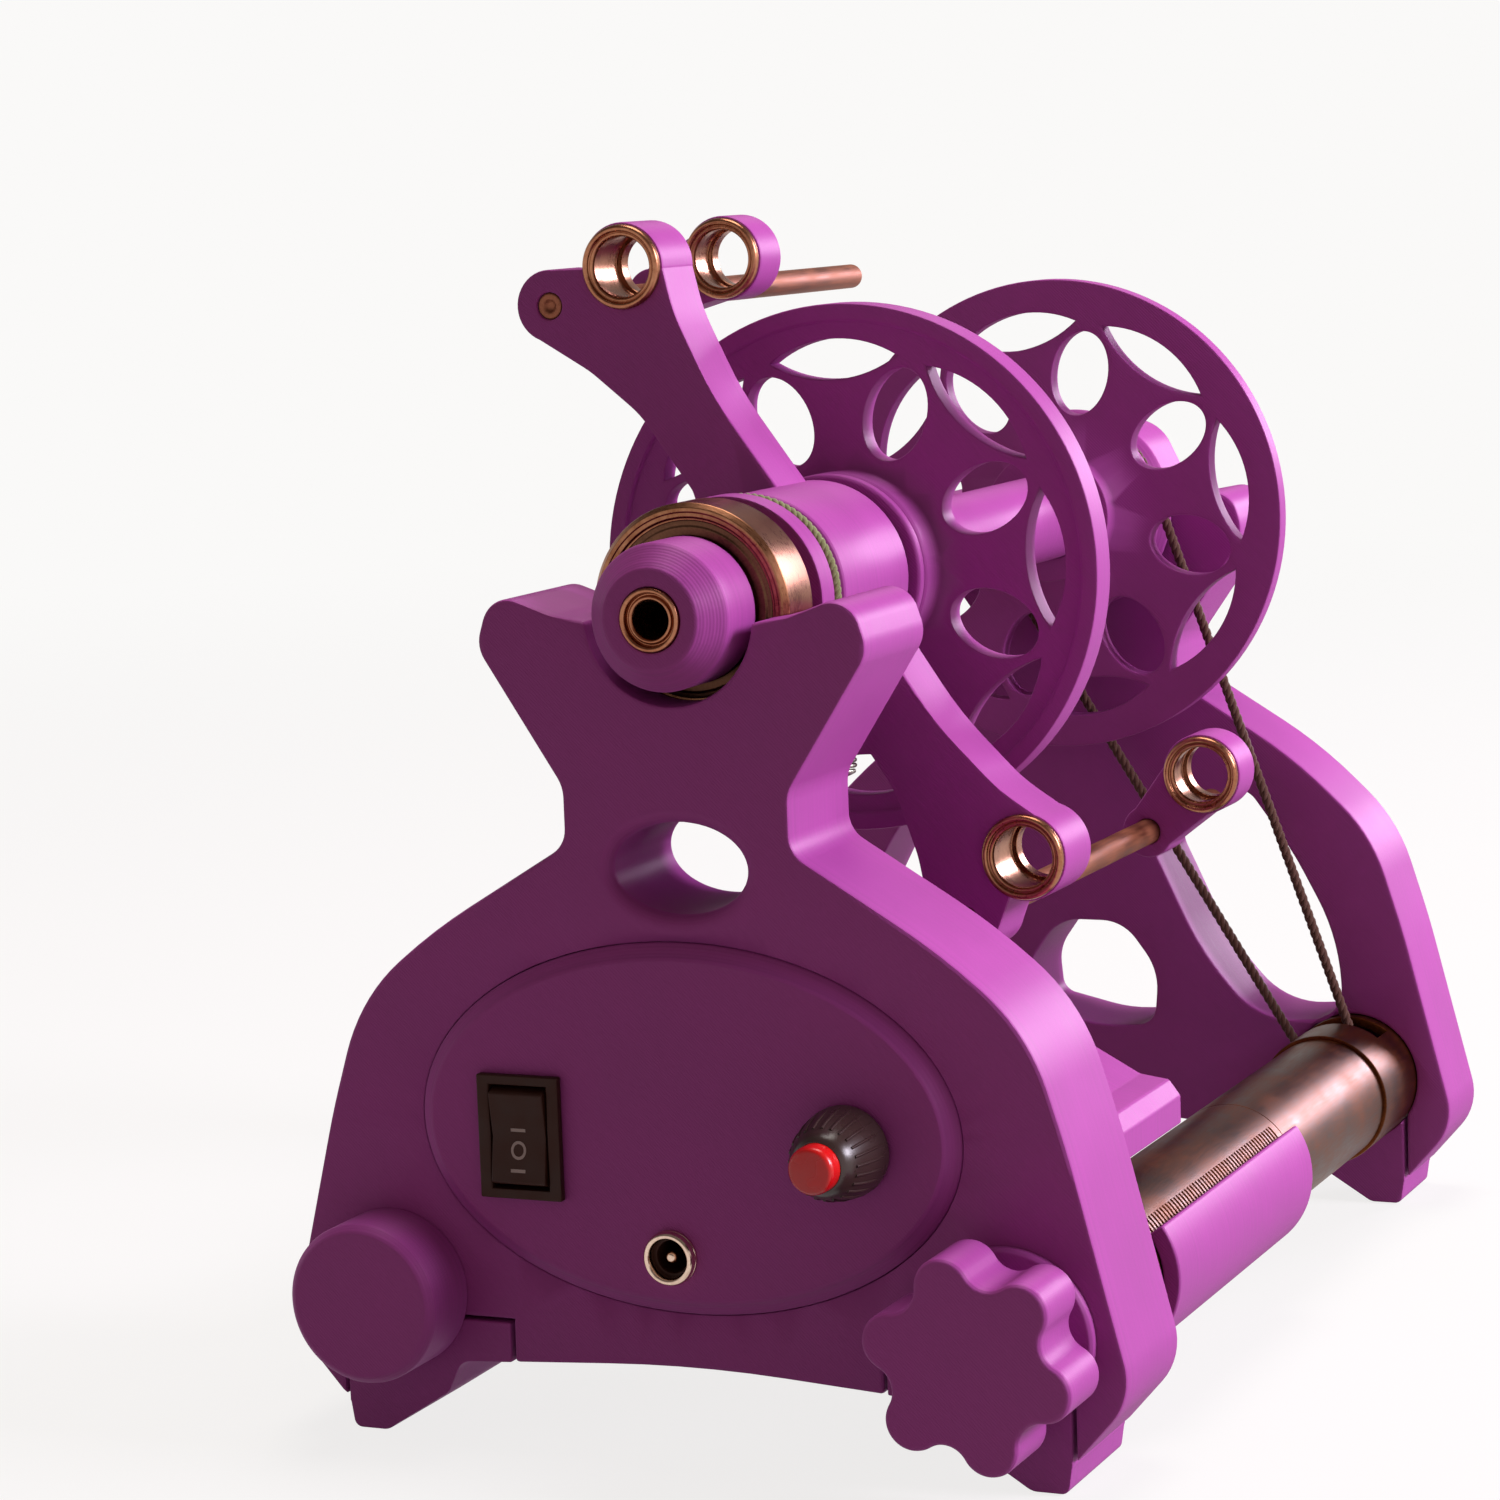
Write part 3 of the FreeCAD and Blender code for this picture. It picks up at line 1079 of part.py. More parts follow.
def band_solid(s):
    """The drive band: two straight strands tangent to two arcs."""
    big = V(0, s.band_y.value, s.spindle_z.value)
    small = V(s.rail_x.value, s.band_y.value, s.rail_z.value)
    big_r = s.whorl_pitch.value
    small_r = s.pulley_pitch.value
    rad = s.band_rad.value
    between = small - big
    lean = math.asin((big_r - small_r) / between.Length)
    heading = math.atan2(between.z, between.x)

    def off(centre, radius, angle):
        return centre + V(radius * math.cos(angle), 0, radius * math.sin(angle))

    right = heading + math.pi / 2 - lean
    left = heading - math.pi / 2 + lean
    pieces = []
    for angle in (right, left):
        pieces.append(rod_between(off(big, big_r, angle), off(small, small_r, angle), rad))
    turn_small = math.degrees(right - left)
    for centre, radius, first, turn in ((big, big_r, right, 360 - turn_small),
                                        (small, small_r, left, turn_small)):
        start = off(centre, radius, first)
        tangent = V(-math.sin(first), 0, math.cos(first))
        disc = Part.Face(Part.Wire(Part.makeCircle(rad, start, tangent)))
        pieces.append(disc.revolve(centre, V(0, -1, 0), turn))
    return pieces[0].multiFuse(pieces[1:]).removeSplitter()


# ---------------------------------------------------------------- fasteners

def make_screws(doc, s):
    """Foot screws from below and cover screws from behind."""
    rad = s.screw_rad
    head_z = 13.8
    upright = profile_solid([(0, head_z), (2.9, head_z), (2.9, 16.2), (rad, 16.2), (rad, 33.0),
                             (0, 33.0)], V(0, 0, 1))
    foot = []
    for x in (-40.0, 40.0):
        for y in (s.front_thick * 0.5, s.rear_y + s.rear_thick * 0.5):
            foot.append(moved(upright, x, y, 0))
    start = s.front_thick
    level = profile_solid([(0, 14.5), (rad, 14.5), (rad, start + 3.0), (2.8, start + 3.0),
                           (2.8, start + 4.6), (2.0, start + 5.4), (0, start + 5.4)])
    cover = [moved(level, x, 0, 43.2) for x in (-60.0, 60.0)]
    return [group(doc, s, "foot_screws", foot), group(doc, s, "cover_screws", cover)]


# ---------------------------------------------------------------- assembly and export

def build():
    """Build the document and write one file for each sub-part."""
    doc = FreeCAD.newDocument("yarn_spinner")
    s = make_sheet(doc)
    nodes = [make_front_plate(doc, s), make_rear_plate(doc, s)]
    nodes += make_feet(doc, s)
    nodes += make_rails(doc, s)
    nodes += make_electronics(doc, s)
    nodes.append(make_panel(doc, s))
    nodes += make_switch(doc, s)
    nodes += make_jack(doc, s)
    nodes += make_speed_control(doc, s)
    nodes += make_tension_knob(doc, s)
    nodes += make_brake(doc, s)
    nodes += make_bearings(doc, s)
    nodes += make_flyer(doc, s)
    nodes += make_slider(doc, s, "upper_slider", False, s.upper_slider_y)
    nodes += make_slider(doc, s, "lower_slider", True, s.lower_slider_y)
    nodes += make_bobbin(doc, s)
    nodes += make_drive(doc, s)
    nodes += make_screws(doc, s)
    doc.recompute()
    for thing in doc.Objects:
        if "Invalid" in thing.State or "Error" in thing.State:
            raise RuntimeError("failed feature: %s %s" % (thing.Label, thing.State))
    os.makedirs("parts", exist_ok=True)
    for node in nodes:
        shape = node.Shape
        if shape.isNull() or not shape.isValid() or not shape.Solids:
            raise RuntimeError("bad shape: " + node.Label)
        shape.exportStep("parts/%s.step" % node.Label)
        print("%-24s solids %d volume %.1f" % (node.Label, len(shape.Solids), shape.Volume))
    print("nodes", len(nodes))


build()
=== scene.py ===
"""Finished look of an electric yarn spinner: printed frame, flyer, bobbin, drive and controls."""

import math

import bmesh
import bpy
from mathutils import Matrix, Vector


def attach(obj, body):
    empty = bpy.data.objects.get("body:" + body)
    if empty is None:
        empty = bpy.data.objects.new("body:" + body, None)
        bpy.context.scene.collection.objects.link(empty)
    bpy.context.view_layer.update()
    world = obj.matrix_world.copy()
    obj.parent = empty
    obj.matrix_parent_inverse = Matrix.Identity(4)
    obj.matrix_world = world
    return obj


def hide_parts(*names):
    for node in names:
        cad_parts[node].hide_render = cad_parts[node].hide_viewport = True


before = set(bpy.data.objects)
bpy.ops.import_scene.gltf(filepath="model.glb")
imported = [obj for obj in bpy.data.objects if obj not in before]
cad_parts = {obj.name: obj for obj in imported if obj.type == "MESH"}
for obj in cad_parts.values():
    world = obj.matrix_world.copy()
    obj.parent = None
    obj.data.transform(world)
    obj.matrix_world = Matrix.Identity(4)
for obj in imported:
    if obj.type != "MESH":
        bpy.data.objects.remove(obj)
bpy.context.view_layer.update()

bl_info = {
    "name": "Yarn spinner finish",
    "version": (1, 0, 0),
    "blender": (4, 5, 0),
    "location": "3D View > Sidebar > Spinner",
    "description": "Dresses the yarn spinner's frame with its finished pieces and materials",
    "category": "Object",
}

MM = 0.001
TURN = 2 * math.pi
ON_AXIS = 1e-6  # a radius below this is a point on the axis
WELD = 1e-6  # metres within which two points are one
FRONT_FACE = -100.0  # Y of the front plate's front face; depths below are counted from it, in mm
SPINDLE = (0.0, 140.7)  # X and Z of the flyer's axis
RIGHT_TUBE = (55.5, 25.5)  # X and Z of the motor tube's axis
LEFT_RAIL = (-55.5, 25.5)  # X and Z of the left rail's axis
TUBE_RADII = (10.6, 12.2)  # inside and outside, of the rail and of the motor tube
RIB_DEPTHS = (28.0, 116.0)  # first and last place of a rib on the motor tube
SWITCH = (-29.0, 53.7)
JACK = (-2.4, 34.9)
SPEED_KNOB = (29.5, 54.8)
PANEL_FACE = -2.2  # depth of the control panel's front
PANEL = (0.0, 56.0, 48.5, 31.1)  # X and Z of its middle, half width and half height
PANEL_RIM = (0.985, 1.03)  # from the panel's edge to its seat's, as shares of the panel's size
EYELET_REACH = 62.2  # distance of the eyelets from the flyer's axis
ROD_REACH = 65.2
EYELET_ANGLES = (118.0, -48.0)  # upper and lower, about the flyer's axis
ROD_ANGLES = (132.0, -62.0)
ARM_DEPTHS = (50.0, 63.0)
SLIDER_DEPTHS = ((92.4, 101.9), (148.0, 157.5))  # upper and lower
BAND_DEPTH = 194.5
WHORL_PITCH = 18.4  # radius of the band's middle on the bobbin's whorl
PULLEY_PITCH = 4.6
CORD_DEPTH = 32.5
CORD_PATH = 16.2  # radius of the brake cord's middle over the hub
SPRING_RADIUS = 2.2
SPRING_WIRE = 0.4
SPRING_ENDS = (111.2, 122.2)  # lowest and highest turn
CAMERA_PLACE = (0.2927, -0.7252, 0.2120)
CAMERA_ANGLES = (24.029, 7.726, 2.101)  # to the right of the front, above the floor, and roll


# ---------------------------------------------------------------- colours and nodes

def linear(colour):
    """Linear red, green, blue and alpha of an sRGB hex colour."""
    parts = [int(colour[i:i + 2], 16) / 255 for i in (1, 3, 5)]
    return tuple(c / 12.92 if c <= 0.04045 else ((c + 0.055) / 1.055) ** 2.4 for c in parts) + (1.0,)


def scaled(colour, factor):
    """A linear colour made darker or lighter."""
    return tuple(min(c * factor, 1.0) for c in colour[:3]) + (1.0,)


def add(tree, kind, values=None, **settings):
    """Adds a node; values fills its inputs by name or number, each a constant, a socket or a node.

    A node given as a value is linked by its first output that is in use.
    """
    made = tree.nodes.new(kind)
    for key, value in settings.items():
        setattr(made, key, value)
    for key, value in (values or {}).items():
        if isinstance(value, bpy.types.Node):
            value = next(socket for socket in value.outputs if socket.enabled)
        if isinstance(value, bpy.types.NodeSocket):
            tree.links.new(value, made.inputs[key])
        else:
            made.inputs[key].default_value = value
    return made


def start_material(name):
    """A new node material and its tree."""
    material = bpy.data.materials.new(name)
    material.use_nodes = True
    material.node_tree.nodes.clear()
    return material, material.node_tree


def end_material(material, values):
    """Ends a material in one Principled surface."""
    surface = add(material.node_tree, "ShaderNodeBsdfPrincipled", values)
    add(material.node_tree, "ShaderNodeOutputMaterial", {"Surface": surface})
    return material


def silk_pla(name):
    """Silk PLA, fused in layers along Y: satin, streaked along each layer, rastered on flat faces."""
    settings = bpy.context.scene.spinner_print
    base = tuple(settings.colour) + (1.0,)
    material, tree = start_material(name)
    coords = add(tree, "ShaderNodeTexCoord").outputs
    place = add(tree, "ShaderNodeSeparateXYZ", {0: coords["Object"]}).outputs
    facing = add(tree, "ShaderNodeSeparateXYZ", {0: coords["Normal"]}).outputs
    upright = add(tree, "ShaderNodeMath", {0: facing["Y"]}, operation="ABSOLUTE")
    flat = add(tree, "ShaderNodeMapRange", {"Value": upright, "From Min": 0.9, "From Max": 0.97})
    wall = add(tree, "ShaderNodeMath", {0: 1.0, 1: flat}, operation="SUBTRACT")
    # each layer catches the light a little differently, which draws streaks along the walls
    streak = add(tree, "ShaderNodeTexNoise", {
        "W": place["Y"], "Scale": 1 / (2.2 * settings.layer), "Detail": 4.0, "Roughness": 0.75},
        noise_dimensions="1D")
    cloud = add(tree, "ShaderNodeTexNoise", {
        "Vector": coords["Object"], "Scale": 1 / (22.22 * MM), "Detail": 3.0, "Roughness": 0.6})
    streak_on_wall = add(tree, "ShaderNodeMix", {0: wall, 2: 0.5, 3: streak})
    tone = add(tree, "ShaderNodeMix", {0: 0.4, 2: streak_on_wall, 3: cloud})
    spread = add(tree, "ShaderNodeMapRange", {"Value": tone, "From Min": 0.3, "From Max": 0.7})
    colour = add(tree, "ShaderNodeMix", {0: spread, 6: scaled(base, 0.86), 7: scaled(base, 1.12)},
                 data_type="RGBA")
    # a wall has one ridge to a layer; a flat face has raster lines one nozzle width apart, 0.45 mm
    across = add(tree, "ShaderNodeMath", {0: place["X"], 1: place["Z"]}, operation="ADD")
    waves = []
    for way, pitch in ((place["Y"], settings.layer), (across, 0.45 * MM * 1.414)):
        phase = add(tree, "ShaderNodeMath", {0: way, 1: TURN / pitch}, operation="MULTIPLY")
        waves.append(add(tree, "ShaderNodeMath", {0: phase}, operation="SINE"))
    lines = add(tree, "ShaderNodeMix", {0: flat, 2: waves[0], 3: waves[1]})
    height = add(tree, "ShaderNodeMath", {0: lines, 1: 0.35, 2: tone}, operation="MULTIPLY_ADD")
    # layer ridges are about a tenth of the layer's height deep
    bump = add(tree, "ShaderNodeBump", {
        "Strength": 0.55, "Distance": 0.12 * settings.layer, "Height": height})
    gloss = add(tree, "ShaderNodeMapRange", {
        "Value": tone, "From Min": 0.3, "From Max": 0.7, "To Min": 0.48, "To Max": 0.6})
    # the ridges spread a highlight across the layers, along Y, and leave it crisp along them
    spread_way = add(tree, "ShaderNodeCombineXYZ", {"X": 0.05, "Y": 1.0, "Z": 0.03})
    drawn = add(tree, "ShaderNodeMath", {0: wall, 1: 0.75}, operation="MULTIPLY")
    # the pearl pigment that makes the plastic silky tints what it reflects
    return end_material(material, {
        "Base Color": colour, "Roughness": gloss, "Normal": bump, "IOR": 1.46,
        "Specular IOR Level": 0.62, "Specular Tint": linear("#f2cade"), "Anisotropic": drawn,
        "Tangent": spread_way})


def worked_metal(name, dark, light, rough, grain, depth, stretch=(1.0, 1.0, 1.0)):
    """A metal of two close tones with a fine grain, drawn out by stretch in X, Y and Z.

    grain is its width and depth its depth, in mm; it lies on clouds 8 mm wide.
    """
    material, tree = start_material(name)
    place = add(tree, "ShaderNodeTexCoord").outputs["Object"]
    drawn = add(tree, "ShaderNodeMapping", {"Vector": place, "Scale": stretch})
    fine = add(tree, "ShaderNodeTexNoise", {
        "Vector": drawn, "Scale": 1 / (grain * MM), "Detail": 4.0, "Roughness": 0.6})
    broad = add(tree, "ShaderNodeTexNoise", {
        "Vector": place, "Scale": 1 / (8.333 * MM), "Detail": 3.0})
    value = add(tree, "ShaderNodeMix", {0: 0.5, 2: fine, 3: broad})
    spread = add(tree, "ShaderNodeMapRange", {"Value": value, "From Min": 0.35, "From Max": 0.65})
    colour = add(tree, "ShaderNodeMix", {0: spread, 6: linear(dark), 7: linear(light)},
                 data_type="RGBA")
    gloss = add(tree, "ShaderNodeMapRange", {
        "Value": value, "From Min": 0.3, "From Max": 0.7, "To Min": rough * 0.8,
        "To Max": rough * 1.3})
    bump = add(tree, "ShaderNodeBump", {"Strength": 0.3, "Distance": depth * MM, "Height": fine})
    return end_material(material, {
        "Base Color": colour, "Metallic": 1.0, "Roughness": gloss, "Normal": bump})


def moulded_plastic(name, colour, rough, grain, depth, shine=0.5):
    """Moulded plastic with the fine erosion grain of its mould, grain wide and depth deep in mm."""
    material, tree = start_material(name)
    place = add(tree, "ShaderNodeTexCoord").outputs["Object"]
    fine = add(tree, "ShaderNodeTexNoise", {
        "Vector": place, "Scale": 1 / (grain * MM), "Detail": 3.0})
    broad = add(tree, "ShaderNodeTexNoise", {
        "Vector": place, "Scale": 1 / (5.0 * MM), "Detail": 2.0})
    tint = add(tree, "ShaderNodeMix", {
        0: broad, 6: scaled(linear(colour), 0.85), 7: scaled(linear(colour), 1.18)},
        data_type="RGBA")
    gloss = add(tree, "ShaderNodeMapRange", {
        "Value": broad, "From Min": 0.3, "From Max": 0.7, "To Min": rough * 0.85,
        "To Max": rough * 1.2})
    bump = add(tree, "ShaderNodeBump", {"Strength": 0.35, "Distance": depth * MM, "Height": fine})
    return end_material(material, {
        "Base Color": tint, "Roughness": gloss, "Normal": bump, "IOR": 1.5,
        "Specular IOR Level": shine})


def spun_cord(name, dark, light, fibre):
    """Spun fibre: matt, with a fine felt of fibres, each fibre mm wide; its two tones follow the
    felt's height, so the darker one sits where the felt sinks, as painted shade.
    """
    material, tree = start_material(name)
    place = add(tree, "ShaderNodeTexCoord").outputs["Object"]
    hair = add(tree, "ShaderNodeTexNoise", {
        "Vector": place, "Scale": 1 / (fibre * MM), "Detail": 5.0, "Roughness": 0.7})
    # painted shade: the colour follows the same noise as the bump, dark in its low spots and light
    # where it rises
    colour = add(tree, "ShaderNodeMix", {0: hair, 6: linear(dark), 7: linear(light)},
                 data_type="RGBA")
    bump = add(tree, "ShaderNodeBump", {"Strength": 0.7, "Distance": 0.08 * MM, "Height": hair})
    return end_material(material, {
        "Base Color": colour, "Roughness": 0.85, "Normal": bump, "Sheen Weight": 0.3,
        "Sheen Roughness": 0.5})


def circuit_board(name, track, mask):
    """Green solder mask over copper tracks."""
    material, tree = start_material(name)
    place = add(tree, "ShaderNodeTexCoord").outputs["Object"]
    tracks = add(tree, "ShaderNodeTexVoronoi", {"Vector": place, "Scale": 1 / (3.2 * MM)},
                 feature="DISTANCE_TO_EDGE")
    edge = add(tree, "ShaderNodeMapRange", {"Value": tracks, "From Min": 0.04, "From Max": 0.09})
    colour = add(tree, "ShaderNodeMix", {0: edge, 6: linear(track), 7: linear(mask)},
                 data_type="RGBA")
    bump = add(tree, "ShaderNodeBump", {"Strength": 0.4, "Distance": 0.04 * MM, "Height": edge},
               invert=True)
    return end_material(material, {
        "Base Color": colour, "Roughness": 0.3, "Normal": bump, "Coat Weight": 0.4,
        "Coat Roughness": 0.15})


# the maker of each finish and what it is given: the material's name, its colours and its sizes
FINISHES = {
    "print": (silk_pla, "Silk PLA, printed in layers"),
    # browned steel reads dark brown with a soft long highlight along the tube
    "brown_steel": (worked_metal, "Browned steel tube, drawn", "#3a1a09", "#68371b", 0.42, 0.25,
                    0.006, (1.0, 0.05, 1.0)),
    # copper plate over brass shows warm rims and near-white reflections
    "copper": (worked_metal, "Copper-plated brass, rolled", "#91593f", "#b07a5c", 0.27, 0.9, 0.0015),
    # a copper wash over drawn rod, dulled by handling, reads matt red-brown
    "rod": (worked_metal, "Copper-washed steel rod, drawn", "#6f3f2e", "#99614a", 0.55, 0.4, 0.008,
            (1.0, 0.05, 1.0)),
    # ground bearing steel is given a golden brown colour
    "bearing": (worked_metal, "Bearing steel, ground and oiled", "#7c4c33", "#a87658", 0.28, 0.15,
                0.002, (0.15, 1.0, 0.15)),
    # a pressed shield sits in the shade of its rings, dark and dull
    "shield": (worked_metal, "Bearing shield, pressed steel", "#4c3226", "#6e4a38", 0.33, 0.4, 0.004),
    # zinc plate is a cool bright grey
    "zinc": (worked_metal, "Zinc-plated steel", "#9a958c", "#c9c5bd", 0.3, 0.3, 0.004),
    # nickel over brass is nearly a mirror with a warm cast
    "nickel": (worked_metal, "Nickel-plated brass, bright", "#c9a893", "#e6cdb9", 0.16, 0.5, 0.003),
    # a fine-grained nylon is nearly black, with a weak and wide sheen; the warm brown cast of its
    # colour is painted light, thrown back on it by the print around it
    "black": (moulded_plastic, "Black nylon, moulded", "#351910", 0.5, 0.12, 0.02, 0.2),
    # ABS from a smooth mould keeps small crisp highlights
    "knob": (moulded_plastic, "Dark ABS knob, moulded", "#3b2a26", 0.3, 0.3, 0.008),
    "red": (moulded_plastic, "Red ABS cap, moulded", "#e01818", 0.28, 0.4, 0.005),
    # ink dries flat, without a highlight
    "mark": (moulded_plastic, "Pale pad-printed ink", "#b5aaa6", 0.6, 0.1, 0.005),
    # turned nylon is creamy and satin
    "bush": (moulded_plastic, "White nylon bush, turned", "#dedbd0", 0.4, 0.2, 0.008),
    # cotton is matt; olive in its grooves, as painted shade, and straw-coloured on its strands
    "cord": (spun_cord, "Green cotton cord, spun", "#5f6a3a", "#94955f", 0.25),
    # wax darkens the drive cord and lays its fibres down
    "band": (spun_cord, "Dark twisted drive cord, waxed", "#371a10", "#603621", 0.3),
    # solder mask is a clear gloss over brighter tracks
    "board": (circuit_board, "Solder mask on glass-fibre board", "#2e7a45", "#0d4024"),
}


def finish(kind):
    """The material of a finish, made the first time it is asked for."""
    maker, name, *values = FINISHES[kind]
    return bpy.data.materials.get(name) or maker(name, *values)


# ---------------------------------------------------------------- shapes

def about(radius, angle, axis=SPINDLE):
    """X and Z of a point at a radius and an angle in degrees about an axis."""
    rad = math.radians(angle)
    return axis[0] + radius * math.cos(rad), axis[1] + radius * math.sin(rad)


def at(x, depth, z):
    """A point of the frame, in metres, from millimetres and a depth behind the front face."""
    return Vector((x, depth + FRONT_FACE, z)) * MM


def tube(inner, outer, front, back):
    """The closed outline of a plain tube or ring."""
    return [(inner, front), (outer, front), (outer, back), (inner, back)]


def eased(outline, radius, steps=4):
    """Rounds the corners of a closed outline of (radius, depth) points; points on the axis stay."""
    nearly_straight = 2.85
    most = 0.45  # the share of a side that a rounding may take up
    result = []
    for i, (x, y) in enumerate(outline):
        here = Vector((x, y))
        before = Vector(outline[i - 1]) - here
        after = Vector(outline[(i + 1) % len(outline)]) - here
        if (x < ON_AXIS or min(before.length, after.length) < ON_AXIS
                or before.angle(after) > nearly_straight):
            result.append((x, y))
            continue
        reach = min(radius, before.length * most, after.length * most)
        start = here + before.normalized() * reach
        end = here + after.normalized() * reach
        for k in range(steps + 1):
            t = k / steps
            result.append(tuple(start * (1 - t) ** 2 + here * 2 * t * (1 - t) + end * t ** 2))
    return result


def turn(bm, outline, axis, steps=96, upright=False, material=0):
    """Turns a closed outline of (radius, depth) points about a line along Y, or along Z if upright."""
    rings = []
    for radius, along in outline:
        ring = []
        for i in range(1 if radius < ON_AXIS else steps):
            u, v = about(radius, 360.0 * i / steps, axis)
            ring.append(bm.verts.new(at(u, v, along) if upright else at(u, along, v)))
        rings.append(ring)
    for ring, other in zip(rings, rings[1:] + rings[:1]):
        if len(ring) == 1 and len(other) == 1:
            continue
        for i in range(steps):
            j = (i + 1) % steps
            corners = [ring[0], other[i], other[j]] if len(ring) == 1 else (
                [ring[i], other[0], ring[j]] if len(other) == 1 else
                [ring[i], other[i], other[j], ring[j]])
            bm.faces.new(corners).material_index = material


def bar(bm, points, radius, sides):
    """A closed round bar along a row of points, in metres."""
    rings = []
    side = (points[1] - points[0]).orthogonal()
    for before, point, after in zip(points[:1] + points, points, points[1:] + points[-1:]):
        ahead = (after - before).normalized()
        side = (side - ahead * side.dot(ahead)).normalized()
        up = ahead.cross(side)
        rings.append([bm.verts.new(point + (side * math.cos(TURN * k / sides)
                                            + up * math.sin(TURN * k / sides)) * radius)
                      for k in range(sides)])
    for a, b in zip(rings, rings[1:]):
        for k in range(sides):
            n = (k + 1) % sides
            bm.faces.new((a[k], a[n], b[n], b[k]))
    bm.faces.new(rings[0][::-1])
    bm.faces.new(rings[-1])


def new_object(name, data):
    """An object in the scene for a mesh, a lamp or a camera."""
    made = bpy.data.objects.new(name, data)
    bpy.context.scene.collection.objects.link(made)
    return made


def mesh_object(name, bm):
    """An object for a mesh under construction, which is freed."""
    mesh = bpy.data.meshes.new(name)
    bm.to_mesh(mesh)
    bm.free()
    return new_object(name, mesh)


def welded(name, bm):
    """An object for a mesh under construction, its doubled points welded and its faces outward."""
    bmesh.ops.remove_doubles(bm, verts=bm.verts, dist=WELD)
    bmesh.ops.recalc_face_normals(bm, faces=bm.faces)
    return mesh_object(name, bm)


def apply_modifiers(made):
    """Turns what an object's modifiers make into its plain mesh."""
    graph = bpy.context.evaluated_depsgraph_get()
    graph.update()
    mesh = bpy.data.meshes.new_from_object(made.evaluated_get(graph), preserve_all_data_layers=True,
                                           depsgraph=graph)
    old = made.data
    made.modifiers.clear()
    made.data = mesh
    mesh.name = made.name
    if old.users == 0:
        bpy.data.meshes.remove(old)


def settle(made, body, kinds, stands_for=(), smooth=32.0):
    """Shades a mesh object evenly, gives it its finishes and lets it ride on its body.

    Edges that turn by more than smooth degrees stay sharp.
    """
    mesh = made.data
    mesh.materials.clear()
    for kind in kinds:
        mesh.materials.append(finish(kind))
    mesh.shade_smooth()
    mesh.set_sharp_from_angle(angle=math.radians(smooth))
    made.modifiers.new("Even shading", "WEIGHTED_NORMAL").keep_sharp = True
    apply_modifiers(made)
    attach(made, body)
    if stands_for:
        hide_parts(*stands_for)


def piece(name, bm, body, kinds, *stands_for):
    """Makes a finished piece from a mesh under construction."""
    settle(welded(name, bm), body, kinds, stands_for)


def turned(name, node, body, kind, axis, outline, radius, steps=96):
    """Makes one turned piece, its corners rounded by radius, in the place of a node."""
    bm = bmesh.new()
    turn(bm, eased(outline, radius), axis, steps)
    piece(name, bm, body, (kind,), node)


def refill_flats(bm):
    """Fills each flat area afresh from its rim and its holes, so that it shades as one face."""
    smallest = 4 * MM ** 2
    level = math.radians(0.1)
    seen = set()
    areas = []
    for start in bm.faces:
        if len(start.verts) < 5 or start in seen or start.calc_area() < smallest:
            continue
        area = [start]
        seen.add(start)
        for face in area:
            for edge in face.edges:
                if edge.is_manifold and edge.calc_face_angle() <= level:
                    fresh = [other for other in edge.link_faces if other not in seen]
                    seen.update(fresh)
                    area += fresh
        areas.append(area)
    for area in areas:
        inside = set(area)
        edges = {e for f in area for e in f.edges}
        seams = [e for e in edges if all(f in inside for f in e.link_faces)]
        rim = [e for e in edges if not all(f in inside for f in e.link_faces)]
        normal = area[0].normal.copy()
        bmesh.ops.delete(bm, geom=area, context="FACES_ONLY")
        bmesh.ops.delete(bm, geom=seams, context="EDGES")
        bmesh.ops.triangle_fill(bm, use_beauty=True, edges=rim, normal=normal)


def softened(node, body, width, kind="print", segments=2, sparing=None):
    """A node's shape as one clean mesh with its outside edges rounded by width millimetres.

    sparing tells from an edge's middle, in mm, whether the edge stays as it is.
    """
    level, corner = math.radians(0.2), math.radians(28.0)
    bm = bmesh.new()
    bm.from_mesh(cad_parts[node].data)
    bmesh.ops.remove_doubles(bm, verts=bm.verts, dist=2 * WELD)
    bmesh.ops.dissolve_limit(bm, angle_limit=level, verts=bm.verts, edges=bm.edges)
    sharp = [e for e in bm.edges
             if e.is_manifold and e.is_convex and e.calc_face_angle() > corner
             and not (sparing and sparing((e.verts[0].co + e.verts[1].co) / (2 * MM)))]
    bmesh.ops.bevel(bm, geom=sharp, offset=width * MM, offset_type="OFFSET", segments=segments,
                    profile=0.5, affect="EDGES", clamp_overlap=False)
    bmesh.ops.remove_doubles(bm, verts=bm.verts, dist=WELD)
    refill_flats(bm)
    piece(node + "_finished", bm, body, (kind,), node)


def near_panel_rim(middle):
    """Whether a point in mm lies on the oval rim of the control panel or of its seat."""
    reach = math.hypot((middle.x - PANEL[0]) / PANEL[2], (middle.z - PANEL[1]) / PANEL[3])
    return middle.y < FRONT_FACE + 1.0 and PANEL_RIM[0] < reach < PANEL_RIM[1]


def dress(node, kind):
    """Gives a CAD node that keeps its own shape its finished material."""
    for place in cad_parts[node].material_slots:
        place.material = finish(kind)


# ---------------------------------------------------------------- geometry node trees

def start_tree(name, inputs):
    """Starts a geometry tree whose named inputs have the given kinds; gives it and those inputs."""
    tree = bpy.data.node_groups.new(name, "GeometryNodeTree")
    for label, kind in {"Geometry": "Geometry", **inputs, "Material": "Material"}.items():
        tree.interface.new_socket(label, in_out="INPUT", socket_type="NodeSocket" + kind)
    tree.interface.new_socket("Geometry", in_out="OUTPUT", socket_type="NodeSocketGeometry")
    return tree, add(tree, "NodeGroupInput").outputs


def end_tree(tree, given, geometry):
    """Ends a tree in real geometry that carries its material."""
    real = add(tree, "GeometryNodeRealizeInstances", {"Geometry": geometry})
    coated = add(tree, "GeometryNodeSetMaterial", {"Geometry": real, "Material": given["Material"]})
    add(tree, "NodeGroupOutput", {0: coated})
    return tree


